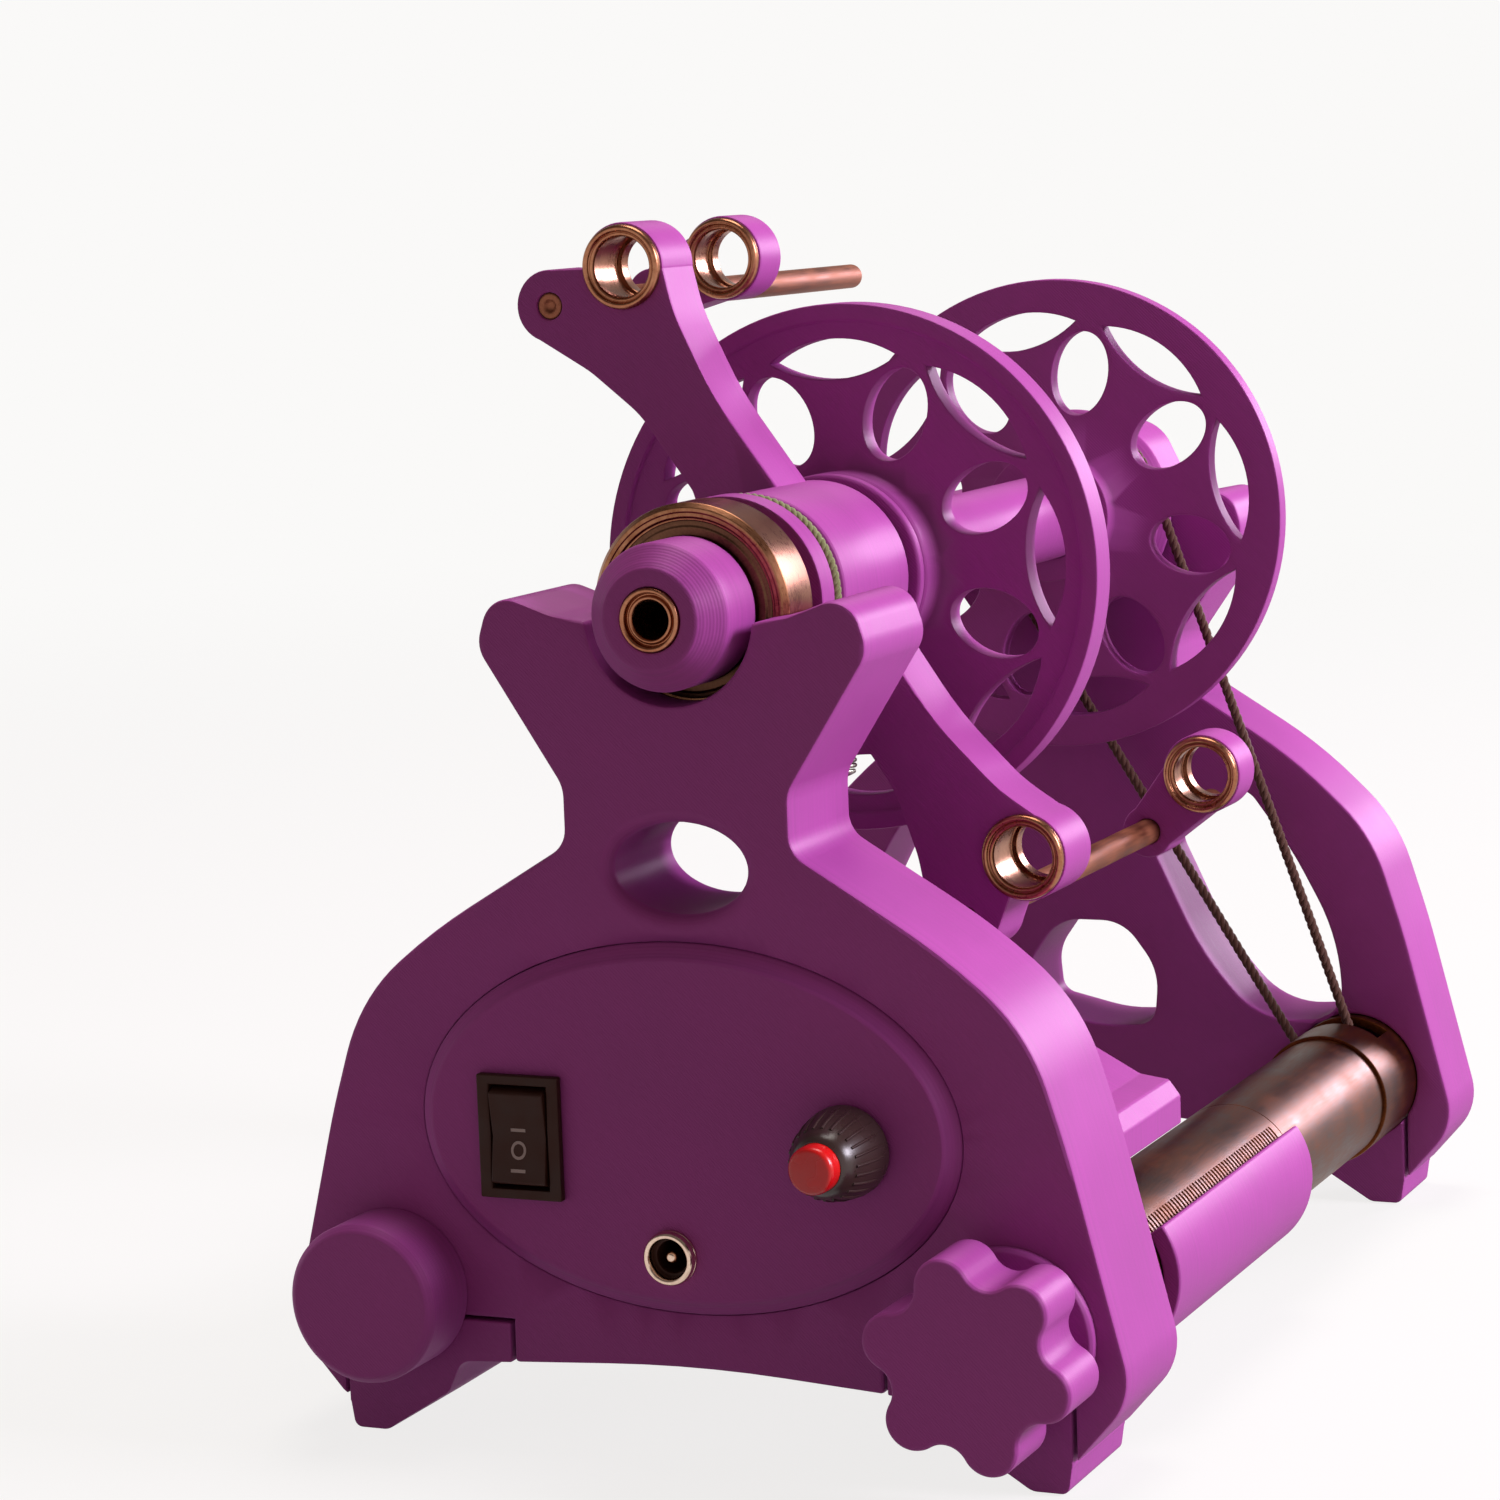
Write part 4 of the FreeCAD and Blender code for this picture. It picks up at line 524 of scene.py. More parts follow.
def round_bar(tree, curve, radius):
    """Draws a round bar with closed ends along a curve."""
    section = add(tree, "GeometryNodeCurvePrimitiveCircle", {"Resolution": 10, "Radius": radius},
                  mode="RADIUS")
    return add(tree, "GeometryNodeCurveToMesh", {
        "Curve": curve, "Profile Curve": section, "Fill Caps": True})


def grow(tree, name, kind, values, mesh=None):
    """Runs a geometry tree on a new object and keeps the result as its plain mesh."""
    made = new_object(name, mesh or bpy.data.meshes.new(name))
    modifier = made.modifiers.new("Shape", "NODES")
    modifier.node_group = tree
    values = {**values, "Material": finish(kind)}
    for item in tree.interface.items_tree:
        if item.in_out == "INPUT" and item.name in values:
            modifier[item.identifier] = values[item.name]
    apply_modifiers(made)
    if not made.data.polygons:
        raise RuntimeError(name + " came out empty")
    return made


def rib_tree():
    """Ribs across the open side of a tube, one pitch apart along Y."""
    tree, given = start_tree("Tube ribs", {
        "Count": "Int", "Pitch": "Float", "Radius": "Float", "Rib radius": "Float",
        "Start angle": "Float", "Sweep angle": "Float", "Start": "Vector"})
    arc = add(tree, "GeometryNodeCurveArc", {
        "Resolution": 60, "Radius": given["Radius"], "Start Angle": given["Start angle"],
        "Sweep Angle": given["Sweep angle"]}, mode="RADIUS")
    stood = add(tree, "GeometryNodeTransform", {
        "Geometry": round_bar(tree, arc, given["Rib radius"]), "Rotation": (math.pi / 2, 0.0, 0.0)})
    step = add(tree, "ShaderNodeCombineXYZ", {"Y": given["Pitch"]})
    row = add(tree, "GeometryNodeMeshLine", {
        "Count": given["Count"], "Start Location": given["Start"], "Offset": step})
    copies = add(tree, "GeometryNodeInstanceOnPoints", {"Points": row, "Instance": stood})
    return end_tree(tree, given, copies)


def rope_tree():
    """Twisted strands along the object's own line of edges."""
    tree, given = start_tree("Twisted cord", {
        "Strands": "Int", "Strand radius": "Float", "Reach": "Float", "Lay": "Float",
        "Step": "Float"})
    line = add(tree, "GeometryNodeMeshToCurve", {"Mesh": given["Geometry"]})
    even = add(tree, "GeometryNodeResampleCurve", {"Curve": line, "Length": given["Step"]},
               mode="LENGTH")
    strands = add(tree, "GeometryNodeDuplicateElements", {
        "Geometry": even, "Amount": given["Strands"]}, domain="SPLINE")
    along = add(tree, "GeometryNodeSplineParameter").outputs["Length"]
    turns = add(tree, "ShaderNodeMath", {0: along, 1: given["Lay"]}, operation="DIVIDE")
    share = add(tree, "ShaderNodeMath", {
        0: strands.outputs["Duplicate Index"], 1: given["Strands"]}, operation="DIVIDE")
    total = add(tree, "ShaderNodeMath", {0: turns, 1: share}, operation="ADD")
    angle = add(tree, "ShaderNodeMath", {0: total, 1: TURN}, operation="MULTIPLY")
    normal = add(tree, "GeometryNodeInputNormal")
    tangent = add(tree, "GeometryNodeInputTangent")
    side = add(tree, "ShaderNodeVectorMath", {0: tangent, 1: normal}, operation="CROSS_PRODUCT")
    parts = []
    for way, wave in ((normal, "COSINE"), (side, "SINE")):
        swing = add(tree, "ShaderNodeMath", {0: angle}, operation=wave)
        parts.append(add(tree, "ShaderNodeVectorMath", {0: way, "Scale": swing},
                         operation="SCALE"))
    both = add(tree, "ShaderNodeVectorMath", {0: parts[0], 1: parts[1]}, operation="ADD")
    shift = add(tree, "ShaderNodeVectorMath", {0: both, "Scale": given["Reach"]},
                operation="SCALE")
    laid = add(tree, "GeometryNodeSetPosition", {"Geometry": strands, "Offset": shift})
    return end_tree(tree, given, round_bar(tree, laid, given["Strand radius"]))


def coil_tree():
    """A close-wound coil of wire that stands on a point."""
    tree, given = start_tree("Wire coil", {
        "Turns": "Float", "Radius": "Float", "Height": "Float", "Wire radius": "Float",
        "Foot": "Vector"})
    spiral = add(tree, "GeometryNodeCurveSpiral", {
        "Resolution": 32, "Rotations": given["Turns"], "Start Radius": given["Radius"],
        "End Radius": given["Radius"], "Height": given["Height"]})
    placed = add(tree, "GeometryNodeTransform", {
        "Geometry": round_bar(tree, spiral, given["Wire radius"]), "Translation": given["Foot"]})
    return end_tree(tree, given, placed)


def ring_tree():
    """Copies of an object set evenly round a line along Y."""
    tree, given = start_tree("Ring of copies", {
        "Count": "Int", "Copy": "Object", "Centre": "Vector"})
    source = add(tree, "GeometryNodeObjectInfo", {"Object": given["Copy"]}).outputs["Geometry"]
    points = add(tree, "GeometryNodeMeshLine", {
        "Count": given["Count"], "Offset": (0.0, 0.0, 0.0)})
    index = add(tree, "GeometryNodeInputIndex")
    share = add(tree, "ShaderNodeMath", {0: index, 1: given["Count"]}, operation="DIVIDE")
    angle = add(tree, "ShaderNodeMath", {0: share, 1: TURN}, operation="MULTIPLY")
    twist = add(tree, "ShaderNodeCombineXYZ", {"Y": angle})
    copies = add(tree, "GeometryNodeInstanceOnPoints", {
        "Points": points, "Instance": source, "Rotation": twist})
    placed = add(tree, "GeometryNodeTransform", {
        "Geometry": copies, "Translation": given["Centre"]})
    return end_tree(tree, given, placed)


def spot_tree():
    """Copies of an object on the object's own points."""
    tree, given = start_tree("Copies on points", {"Copy": "Object"})
    source = add(tree, "GeometryNodeObjectInfo", {"Object": given["Copy"]}).outputs["Geometry"]
    copies = add(tree, "GeometryNodeInstanceOnPoints", {
        "Points": given["Geometry"], "Instance": source})
    return end_tree(tree, given, copies)


def drop(made):
    """Removes an object that a tree has copied, and its mesh."""
    mesh = made.data
    bpy.data.objects.remove(made)
    bpy.data.meshes.remove(mesh)


def line_mesh(name, points, closed=False):
    """A mesh that is only a row of edges through points."""
    mesh = bpy.data.meshes.new(name)
    edges = [(i, i + 1) for i in range(len(points) - 1)]
    if closed:
        edges.append((len(points) - 1, 0))
    mesh.from_pydata([tuple(p) for p in points], edges, [])
    return mesh


# ---------------------------------------------------------------- settings

def length(name, description, least, default):
    """A length that a user can change; its least and its default value are in millimetres."""
    return bpy.props.FloatProperty(name=name, description=description, subtype="DISTANCE",
                                   unit="LENGTH", min=least * MM, default=default * MM)


def paint(name, description, default):
    """A colour that a user can change."""
    return bpy.props.FloatVectorProperty(name=name, description=description, subtype="COLOR",
                                         size=3, min=0.0, max=1.0, default=linear(default)[:3])


def lamp_power(name, description, default):
    """The power of a lamp, in watts."""
    return bpy.props.FloatProperty(name=name, description=description, unit="POWER", min=0.0,
                                   default=default)


class SpinnerPrintSettings(bpy.types.PropertyGroup):
    """Sizes and colour of the printed pieces."""
    colour: paint("Print colour", "Colour of the printed plastic", "#a8499c")
    layer: length("Layer height", "Height of one printed layer", 0.1, 0.4)
    edge: bpy.props.FloatProperty(
        name="Edge rounding", description="Rounding of the plates' outer edges, in millimetres",
        min=0.1, max=1.5, default=0.7)


class SpinnerTubeSettings(bpy.types.PropertyGroup):
    """Sizes of the ribbed motor tube and the speed knob."""
    rib_pitch: length("Rib pitch", "Distance between two ribs on the motor tube", 1.0, 1.5)
    knob_ribs: bpy.props.IntProperty(
        name="Knob ribs", description="Number of ribs round the speed knob", min=6, max=60,
        default=24)


class SpinnerCordSettings(bpy.types.PropertyGroup):
    """Make-up of the drive band and the brake cord."""
    strands: bpy.props.IntProperty(
        name="Strands", description="Number of strands in the band and in the cord", min=2, max=5,
        default=3)
    band_lay: length("Band lay", "Length of one twist of the drive band", 2.0, 5.0)
    cord_lay: length("Cord lay", "Length of one twist of the brake cord", 1.0, 3.6)


class SpinnerStageSettings(bpy.types.PropertyGroup):
    """Camera lens, lamps and floor."""
    lens: bpy.props.FloatProperty(
        name="Lens", description="Focal length of the camera in millimetres", min=10.0,
        default=103.15)
    key_power: lamp_power("Key lamp", "Power of the lamp on the right", 18.0)
    fill_power: lamp_power("Back lamp", "Power of the lamp behind on the right", 20.0)
    floor: paint("Floor colour", "Colour of the floor and the background", "#faf9f8")


# ---------------------------------------------------------------- stage

class SPINNER_OT_stage(bpy.types.Operator):
    """Sets up the floor, the lamps, the background and the camera"""
    bl_idname = "spinner.stage"
    bl_label = "Stage"

    def execute(self, context):
        settings = context.scene.spinner_stage
        context.scene.view_settings.view_transform = "Standard"
        pale = tuple(settings.floor) + (1.0,)
        self.make_camera(context.scene, settings.lens)
        self.make_world(context.scene, pale)
        self.make_floor(pale)
        for name, place, target, size, power, colour in (
                ("Key lamp", (1.15, 0.12, 0.62), (0.02, 0.0, 0.1), 0.42, settings.key_power,
                 "#f6eeff"),
                ("Back lamp", (0.62, 1.6, 0.5), (0.0, 0.0, 0.08), 0.5, settings.fill_power,
                 "#f4eaff"),
                ("Top lamp", (0.0, 0.25, 1.3), (0.0, 0.0, 0.08), 0.7, settings.fill_power * 0.45,
                 "#fffaf4")):
            self.make_lamp(name, Vector(place), Vector(target), size, power, linear(colour)[:3])
        return {"FINISHED"}

    @staticmethod
    def make_camera(scene, lens):
        """The camera, in front on the right and a little above."""
        data = bpy.data.cameras.new("Camera")
        data.lens = lens
        data.sensor_width = 36.0
        data.clip_start, data.clip_end = 0.01, 50.0
        scene.camera = new_object("Camera", data)
        aside, rise, roll = (math.radians(a) for a in CAMERA_ANGLES)
        right = Vector((math.cos(aside), math.sin(aside), 0.0))
        back = Vector((math.sin(aside) * math.cos(rise), -math.cos(aside) * math.cos(rise),
                       math.sin(rise)))
        up = back.cross(right)
        axes = Matrix((right * math.cos(roll) - up * math.sin(roll),
                       right * math.sin(roll) + up * math.cos(roll), back)).transposed()
        scene.camera.matrix_world = Matrix.Translation(CAMERA_PLACE) @ axes.to_4x4()

    @staticmethod
    def split(tree, lighting, shown):
        """Shows one shader to the eye, in mirrors and through glass, and lights with the other."""
        path = add(tree, "ShaderNodeLightPath").outputs
        direct = add(tree, "ShaderNodeMath", {0: path["Is Camera Ray"], 1: path["Is Glossy Ray"]},
                     operation="MAXIMUM")
        seen = add(tree, "ShaderNodeMath", {0: direct, 1: path["Is Transmission Ray"]},
                   operation="MAXIMUM")
        return add(tree, "ShaderNodeMixShader", {0: seen, 1: lighting, 2: shown})

    def make_world(self, scene, pale):
        """A pale background that lights the object only faintly."""
        world = bpy.data.worlds.new("Studio")
        scene.world = world
        world.use_nodes = True
        tree = world.node_tree
        tree.nodes.clear()
        coords = add(tree, "ShaderNodeTexCoord").outputs["Generated"]
        height = add(tree, "ShaderNodeSeparateXYZ", {0: coords}).outputs["Z"]
        climb = add(tree, "ShaderNodeMapRange", {
            "Value": height, "From Min": 0.1, "From Max": 0.6})
        # the background is pale at eye level and greyer overhead, for contrast in the metals
        sky = add(tree, "ShaderNodeMix", {0: climb, 6: pale, 7: linear("#6f6a68")},
                  data_type="RGBA")
        shown = add(tree, "ShaderNodeBackground", {"Color": sky})
        fill = add(tree, "ShaderNodeBackground", {"Color": linear("#f6d4cb"), "Strength": 0.2})
        add(tree, "ShaderNodeOutputWorld", {"Surface": self.split(tree, fill, shown)})

    def make_floor(self, pale):
        """A round sheet of pale paper that fades into the background with distance."""
        bm = bmesh.new()
        bmesh.ops.create_circle(bm, cap_ends=True, segments=96, radius=6.0)
        floor = mesh_object("Floor", bm)
        floor.location.z = -0.2 * MM
        material, tree = start_material("Pale studio floor, matt paper")
        place = add(tree, "ShaderNodeTexCoord").outputs["Object"]
        reach = add(tree, "ShaderNodeVectorMath", {0: place}, operation="LENGTH")
        far = add(tree, "ShaderNodeMapRange", {
            "Value": reach, "From Min": 0.35, "From Max": 1.6, "To Min": 0.86},
            interpolation_type="SMOOTHSTEP")
        paper = add(tree, "ShaderNodeBsdfDiffuse", {"Color": pale})
        glow = add(tree, "ShaderNodeEmission", {"Color": pale})
        sweep = add(tree, "ShaderNodeMixShader", {0: far, 1: paper, 2: glow})
        # light that the floor throws back on the object is kept low, as over a dark table
        dim = add(tree, "ShaderNodeBsdfDiffuse", {"Color": linear("#8a7f7a")})
        add(tree, "ShaderNodeOutputMaterial", {"Surface": self.split(tree, dim, sweep)})
        floor.data.materials.append(material)

    @staticmethod
    def make_lamp(name, place, target, size, power, colour):
        """A round soft lamp that points at a target."""
        data = bpy.data.lights.new(name, "AREA")
        data.shape = "DISK"
        data.size = size
        data.energy = power
        data.color = colour
        lamp = new_object(name, data)
        lamp.location = place
        lamp.rotation_euler = (target - place).to_track_quat("-Z", "Y").to_euler()


# ---------------------------------------------------------------- printed frame

class SPINNER_OT_end_plates(bpy.types.Operator):
    """Finishes the front and rear plates and their clamped feet"""
    bl_idname = "spinner.end_plates"
    bl_label = "End plates and feet"

    def execute(self, context):
        edge = context.scene.spinner_print.edge
        softened("front_plate", "frame", edge, sparing=near_panel_rim)
        softened("rear_plate", "frame", edge)
        for node in ("front_foot_left", "front_foot_right", "rear_foot_left", "rear_foot_right"):
            softened(node, "frame", edge * 0.5)
        return {"FINISHED"}


class SPINNER_OT_covers(bpy.types.Operator):
    """Finishes the end cap, the tube cover, the electronics cover and the control panel"""
    bl_idname = "spinner.covers"
    bl_label = "Caps, covers and panel"

    def execute(self, context):
        softened("left_end_cap", "frame", 0.35)
        softened("tube_cover", "frame", 0.5, segments=3)
        softened("electronics_cover", "frame", 0.25)
        softened("control_panel", "frame", 0.35)
        softened("knob_base", "frame", 0.3)
        dress("speed_board", "board")
        return {"FINISHED"}


class SPINNER_OT_tubes(bpy.types.Operator):
    """Makes the left rail, the ribbed motor tube, the motor can and the pulley guard"""
    bl_idname = "spinner.tubes"
    bl_label = "Rail, motor tube and can"

    def execute(self, context):
        outer = TUBE_RADII[1]
        joint = 118.0  # the depth from which the can carries the motor tube's line on
        turned("left_rail_tube", "left_rail", "frame", "brown_steel", LEFT_RAIL,
               tube(*TUBE_RADII, 4.0, 215.8), 0.3)
        turned("motor_tube_plain", "motor_tube", "frame", "brown_steel", RIGHT_TUBE,
               tube(*TUBE_RADII, 14.3, joint), 0.3)
        pitch = context.scene.spinner_tube.rib_pitch
        first, last = RIB_DEPTHS
        ribs = grow(rib_tree(), "motor_tube_ribs", "brown_steel", {
            "Count": int((last - first) * MM / pitch) + 1, "Pitch": pitch,
            "Radius": (outer - 0.1) * MM, "Rib radius": 0.28 * MM,
            "Start angle": math.radians(-124.0), "Sweep angle": math.radians(172.0),
            "Start": at(RIGHT_TUBE[0], first, RIGHT_TUBE[1])})
        settle(ribs, "frame", ("brown_steel",))
        turned("motor_can_drawn", "motor_can", "frame", "brown_steel", RIGHT_TUBE, [
            (11.2, joint), (outer, joint), (outer, 178.0), (3.5, 178.0), (3.5, 180.5), (1.2, 180.5),
            (1.2, 175.0), (11.2, 175.0)], 0.2, 128)
        softened("pulley_guard", "frame", 0.35, "brown_steel")
        dress("motor_end_bell", "black")
        return {"FINISHED"}


# ---------------------------------------------------------------- flyer

class SPINNER_OT_flyer(bpy.types.Operator):
    """Finishes the flyer's hub and arms, its nose, rods and shaft, and both sliders"""
    bl_idname = "spinner.flyer"
    bl_label = "Flyer and sliders"

    def execute(self, context):
        softened("flyer_hub", "flyer", 0.45)
        softened("nose_collar", "flyer", 0.5)
        softened("upper_slider", "upper_slide", 0.45)
        softened("lower_slider", "lower_slide", 0.45)
        softened("flyer_shaft", "flyer", 0.2, "zinc")
        # the front end is countersunk where it was centred for turning
        rod = eased([(0, 51.1), (0.7, 51.0), (1.3, 50.3), (2.1, 50.3), (2.4, 50.7), (2.4, 188.4),
                     (1.9, 189.5), (1.2, 190.0), (0, 190.0)], 0.3)
        bm = bmesh.new()
        for angle in ROD_ANGLES:
            turn(bm, rod, about(ROD_REACH, angle), 40)
        piece("flyer_rods_turned", bm, "flyer", ("rod",), "flyer_rods")
        return {"FINISHED"}


class SPINNER_OT_eyelets(bpy.types.Operator):
    """Makes the rolled eyelets of the arms and sliders and the orifice sleeve"""
    bl_idname = "spinner.eyelets"
    bl_label = "Eyelets and orifice"

    @staticmethod
    def eyelets(node, body, angles, front, back):
        """Rolled eyelets, each with a lip at each end and a fine inner step."""
        outline = [
            (5.25, front - 0.2), (5.5, front - 0.65), (5.85, front - 0.75), (6.0, front - 0.6),
            (6.15, front - 0.75), (6.35, front - 1.2), (6.8, front - 1.3), (7.25, front - 0.9),
            (7.4, front), (6.4, front), (6.4, back), (7.2, back), (7.15, back + 0.55),
            (6.75, back + 0.95), (6.0, back + 1.0), (5.4, back + 0.8), (5.15, back + 0.3),
            (5.15, back - 2.4), (5.85, back - 2.9), (5.85, front + 2.6), (5.25, front + 2.2)]
        bm = bmesh.new()
        for angle in angles:
            turn(bm, eased(outline, 0.3, 3), about(EYELET_REACH, angle), 80)
        piece(node + "_rolled", bm, body, ("copper",), node)

    def execute(self, context):
        upper, lower = EYELET_ANGLES
        self.eyelets("arm_eyelets", "flyer", EYELET_ANGLES, *ARM_DEPTHS)
        self.eyelets("upper_slider_eyelet", "upper_slide", (upper,), *SLIDER_DEPTHS[0])
        self.eyelets("lower_slider_eyelet", "lower_slide", (lower,), *SLIDER_DEPTHS[1])
        turned("orifice_sleeve_turned", "orifice_sleeve", "flyer", "copper", SPINDLE, [
            (3.0, -5.0), (3.15, -6.0), (3.45, -6.4), (3.8, -6.3), (3.95, -5.7), (4.25, -5.7),
            (4.4, -6.7), (4.75, -7.0), (5.15, -6.8), (5.3, -6.2), (5.3, 34.0), (3.0, 34.0)], 0.2)
        return {"FINISHED"}


class SPINNER_OT_bearings(bpy.types.Operator):
    """Makes the ball bearings' rings and shields"""
    bl_idname = "spinner.bearings"
    bl_label = "Bearings"

    def execute(self, context):
        turned("front_bearing_outer_ring", "front_bearing_outer", "frame", "bearing", SPINDLE, [
            (14.6, 9.6), (15.0, 9.6), (15.2, 9.2), (15.9, 9.2), (16.05, 9.0), (16.7, 9.0),
            (17.5, 9.9), (17.5, 19.4), (16.9, 20.0), (14.6, 20.0)], 0.15, 160)
        for node, body, outline, radius, steps in (
                ("front_bearing_inner", "flyer", tube(7.5, 10.4, 9.0, 20.0), 0.4, 120),
                ("rear_bearing_outer", "frame", tube(8.9, 11.0, 200.4, 207.4), 0.3, 96),
                ("rear_bearing_inner", "flyer", tube(4.0, 6.0, 200.4, 207.4), 0.25, 64)):
            turned(node + "_ring", node, body, "bearing", SPINDLE, outline, radius, steps)
        bm = bmesh.new()
        for inner, outer, front, way in ((10.7, 14.6, 9.4, 1), (10.7, 14.6, 19.6, -1),
                                         (6.3, 8.9, 200.8, 1), (6.3, 8.9, 207.0, -1)):
            wide = outer - inner
            near, step, deep = front, front + 0.2 * way, front + 0.5 * way
            # a pressed shield steps down once between its seat and its lip
            turn(bm, eased([(inner, step), (inner + 0.3 * wide, step), (inner + 0.38 * wide, near),
                            (inner + 0.72 * wide, near), (inner + 0.8 * wide, step),
                            (outer, step), (outer, deep), (inner, deep)], 0.12, 2), SPINDLE, 120)
        piece("bearing_shields_pressed", bm, "frame", ("shield",), "bearing_shields")
        dress("bearing_balls", "bearing")
        return {"FINISHED"}


# ---------------------------------------------------------------- bobbin and drive

class SPINNER_OT_bobbin(bpy.types.Operator):
    """Finishes the bobbin's flanges, core, whorl and bushes"""
    bl_idname = "spinner.bobbin"
    bl_label = "Bobbin"

    def execute(self, context):
        softened("front_flange", "bobbin", 0.4)
        softened("rear_flange", "bobbin", 0.4)
        softened("bobbin_core", "bobbin", 0.3)
        softened("bobbin_whorl", "bobbin", 0.3)
        dress("bobbin_bushes", "bush")
        return {"FINISHED"}


class SPINNER_OT_drive(bpy.types.Operator):
    """Makes the twisted drive band and the motor's pulley"""
    bl_idname = "spinner.drive"
    bl_label = "Drive band and pulley"

    def execute(self, context):
        settings = context.scene.spinner_cord
        path = self.band_path()
        whole = sum((b - a).length for a, b in zip(path, path[1:] + path[:1]))
        band = grow(rope_tree(), "drive_band_twisted", "band", {
            "Strands": settings.strands, "Strand radius": 0.56 * MM, "Reach": 0.47 * MM,
            "Lay": whole / round(whole / settings.band_lay), "Step": 0.6 * MM},
            line_mesh("band line", path, True))
        settle(band, "frame", ("band",), ("drive_band",), 60.0)
        turned("motor_pulley_turned", "motor_pulley", "rotor", "copper", RIGHT_TUBE, [
            (1.15, 190.0), (5.9, 190.0), (6.4, 190.4), (6.4, 191.0), (2.8, 193.2), (2.8, 195.8),
            (6.4, 198.0), (6.4, 198.6), (5.9, 199.0), (1.15, 199.0)], 0.3, 64)
        dress("motor_shaft", "zinc")
        dress("motor_armature", "shield")
        return {"FINISHED"}

    @staticmethod
    def band_path():
        """Points of the band round the whorl and the pulley."""
        between = Vector(RIGHT_TUBE) - Vector(SPINDLE)
        lean = math.asin((WHORL_PITCH - PULLEY_PITCH) / between.length)
        heading = math.atan2(between.y, between.x)
        right = heading + math.pi / 2 - lean
        left = heading - math.pi / 2 + lean
        points = []
        for centre, radius, first, sweep in ((SPINDLE, WHORL_PITCH, right, TURN - (right - left)),
                                             (RIGHT_TUBE, PULLEY_PITCH, left, right - left)):
            steps = max(12, int(radius * sweep))
            for i in range(steps + 1):
                x, z = about(radius, math.degrees(first + sweep * i / steps), centre)
                points.append(at(x, BAND_DEPTH, z))
        return points


# ---------------------------------------------------------------- brake

class SPINNER_OT_brake(bpy.types.Operator):
    """Makes the brake cord, its spring and anchor, and finishes the star knob"""
    bl_idname = "spinner.brake"
    bl_label = "Brake cord and star knob"

    def execute(self, context):
        settings = context.scene.spinner_cord
        over_hub = [about(CORD_PATH, 3.0 * i) for i in range(61)]
        route = [(CORD_PATH, 123.4), (CORD_PATH, 132.0), *over_hub, (-CORD_PATH, 126.0),
                 (-CORD_PATH, 112.4)]
        cord = grow(rope_tree(), "brake_cord_twisted", "cord", {
            "Strands": settings.strands, "Strand radius": 0.54 * MM, "Reach": 0.46 * MM,
            "Lay": settings.cord_lay, "Step": 0.4 * MM},
            line_mesh("cord line", [at(x, CORD_DEPTH, z) for x, z in route]))
        settle(cord, "frame", ("cord",), ("brake_cord",), 60.0)
        low, high = SPRING_ENDS
        spring = grow(coil_tree(), "brake_spring_wound", "zinc", {
            "Turns": 12.0, "Radius": SPRING_RADIUS * MM, "Height": (high - low) * MM,
            "Wire radius": SPRING_WIRE * MM, "Foot": at(CORD_PATH, CORD_DEPTH, low)})
        self.add_hooks(spring)
        settle(spring, "frame", ("zinc",), ("brake_spring",), 60.0)
        dress("brake_line", "cord")
        self.make_anchor()
        softened("star_knob", "tension_knob", 0.9, segments=3)
        dress("tension_spool", "print")
        return {"FINISHED"}

    @staticmethod
    def add_hooks(spring):
        """Joins a bent wire to each end of the coil."""
        bm = bmesh.new()
        bm.from_mesh(spring.data)
        for end, way in zip(SPRING_ENDS, (-1, 1)):
            hook = []
            for i in range(9):
                share = i / 8
                rise = way * 0.75 * math.sin(share * math.pi / 2)
                hook.append(at(CORD_PATH + SPRING_RADIUS * (1 - share), CORD_DEPTH, end + rise))
            bar(bm, hook, SPRING_WIRE * MM, 10)
        bm.to_mesh(spring.data)
        bm.free()

    @staticmethod
    def make_anchor():
        """The screw that holds the cord's left end, with the knot behind its head."""
        bm = bmesh.new()
        turn(bm, eased([(0, 15.0), (1.5, 15.0), (1.5, 29.5), (3.4, 29.5), (4.0, 30.1), (4.0, 34.2),
                        (3.2, 35.4), (1.7, 35.4), (1.7, 34.0), (0, 34.0)], 0.4), (-17.0, 108.0), 48)
        turn(bm, eased([(0, 108.0), (1.4, 108.0), (1.6, 109.2), (1.45, 110.4), (1.6, 111.3),
                        (1.3, 112.4), (0, 112.4)], 0.4), (-CORD_PATH, CORD_DEPTH), 24, True, 1)
        piece("brake_anchor_screw", bm, "frame", ("zinc", "cord"), "brake_anchor")


# ---------------------------------------------------------------- controls

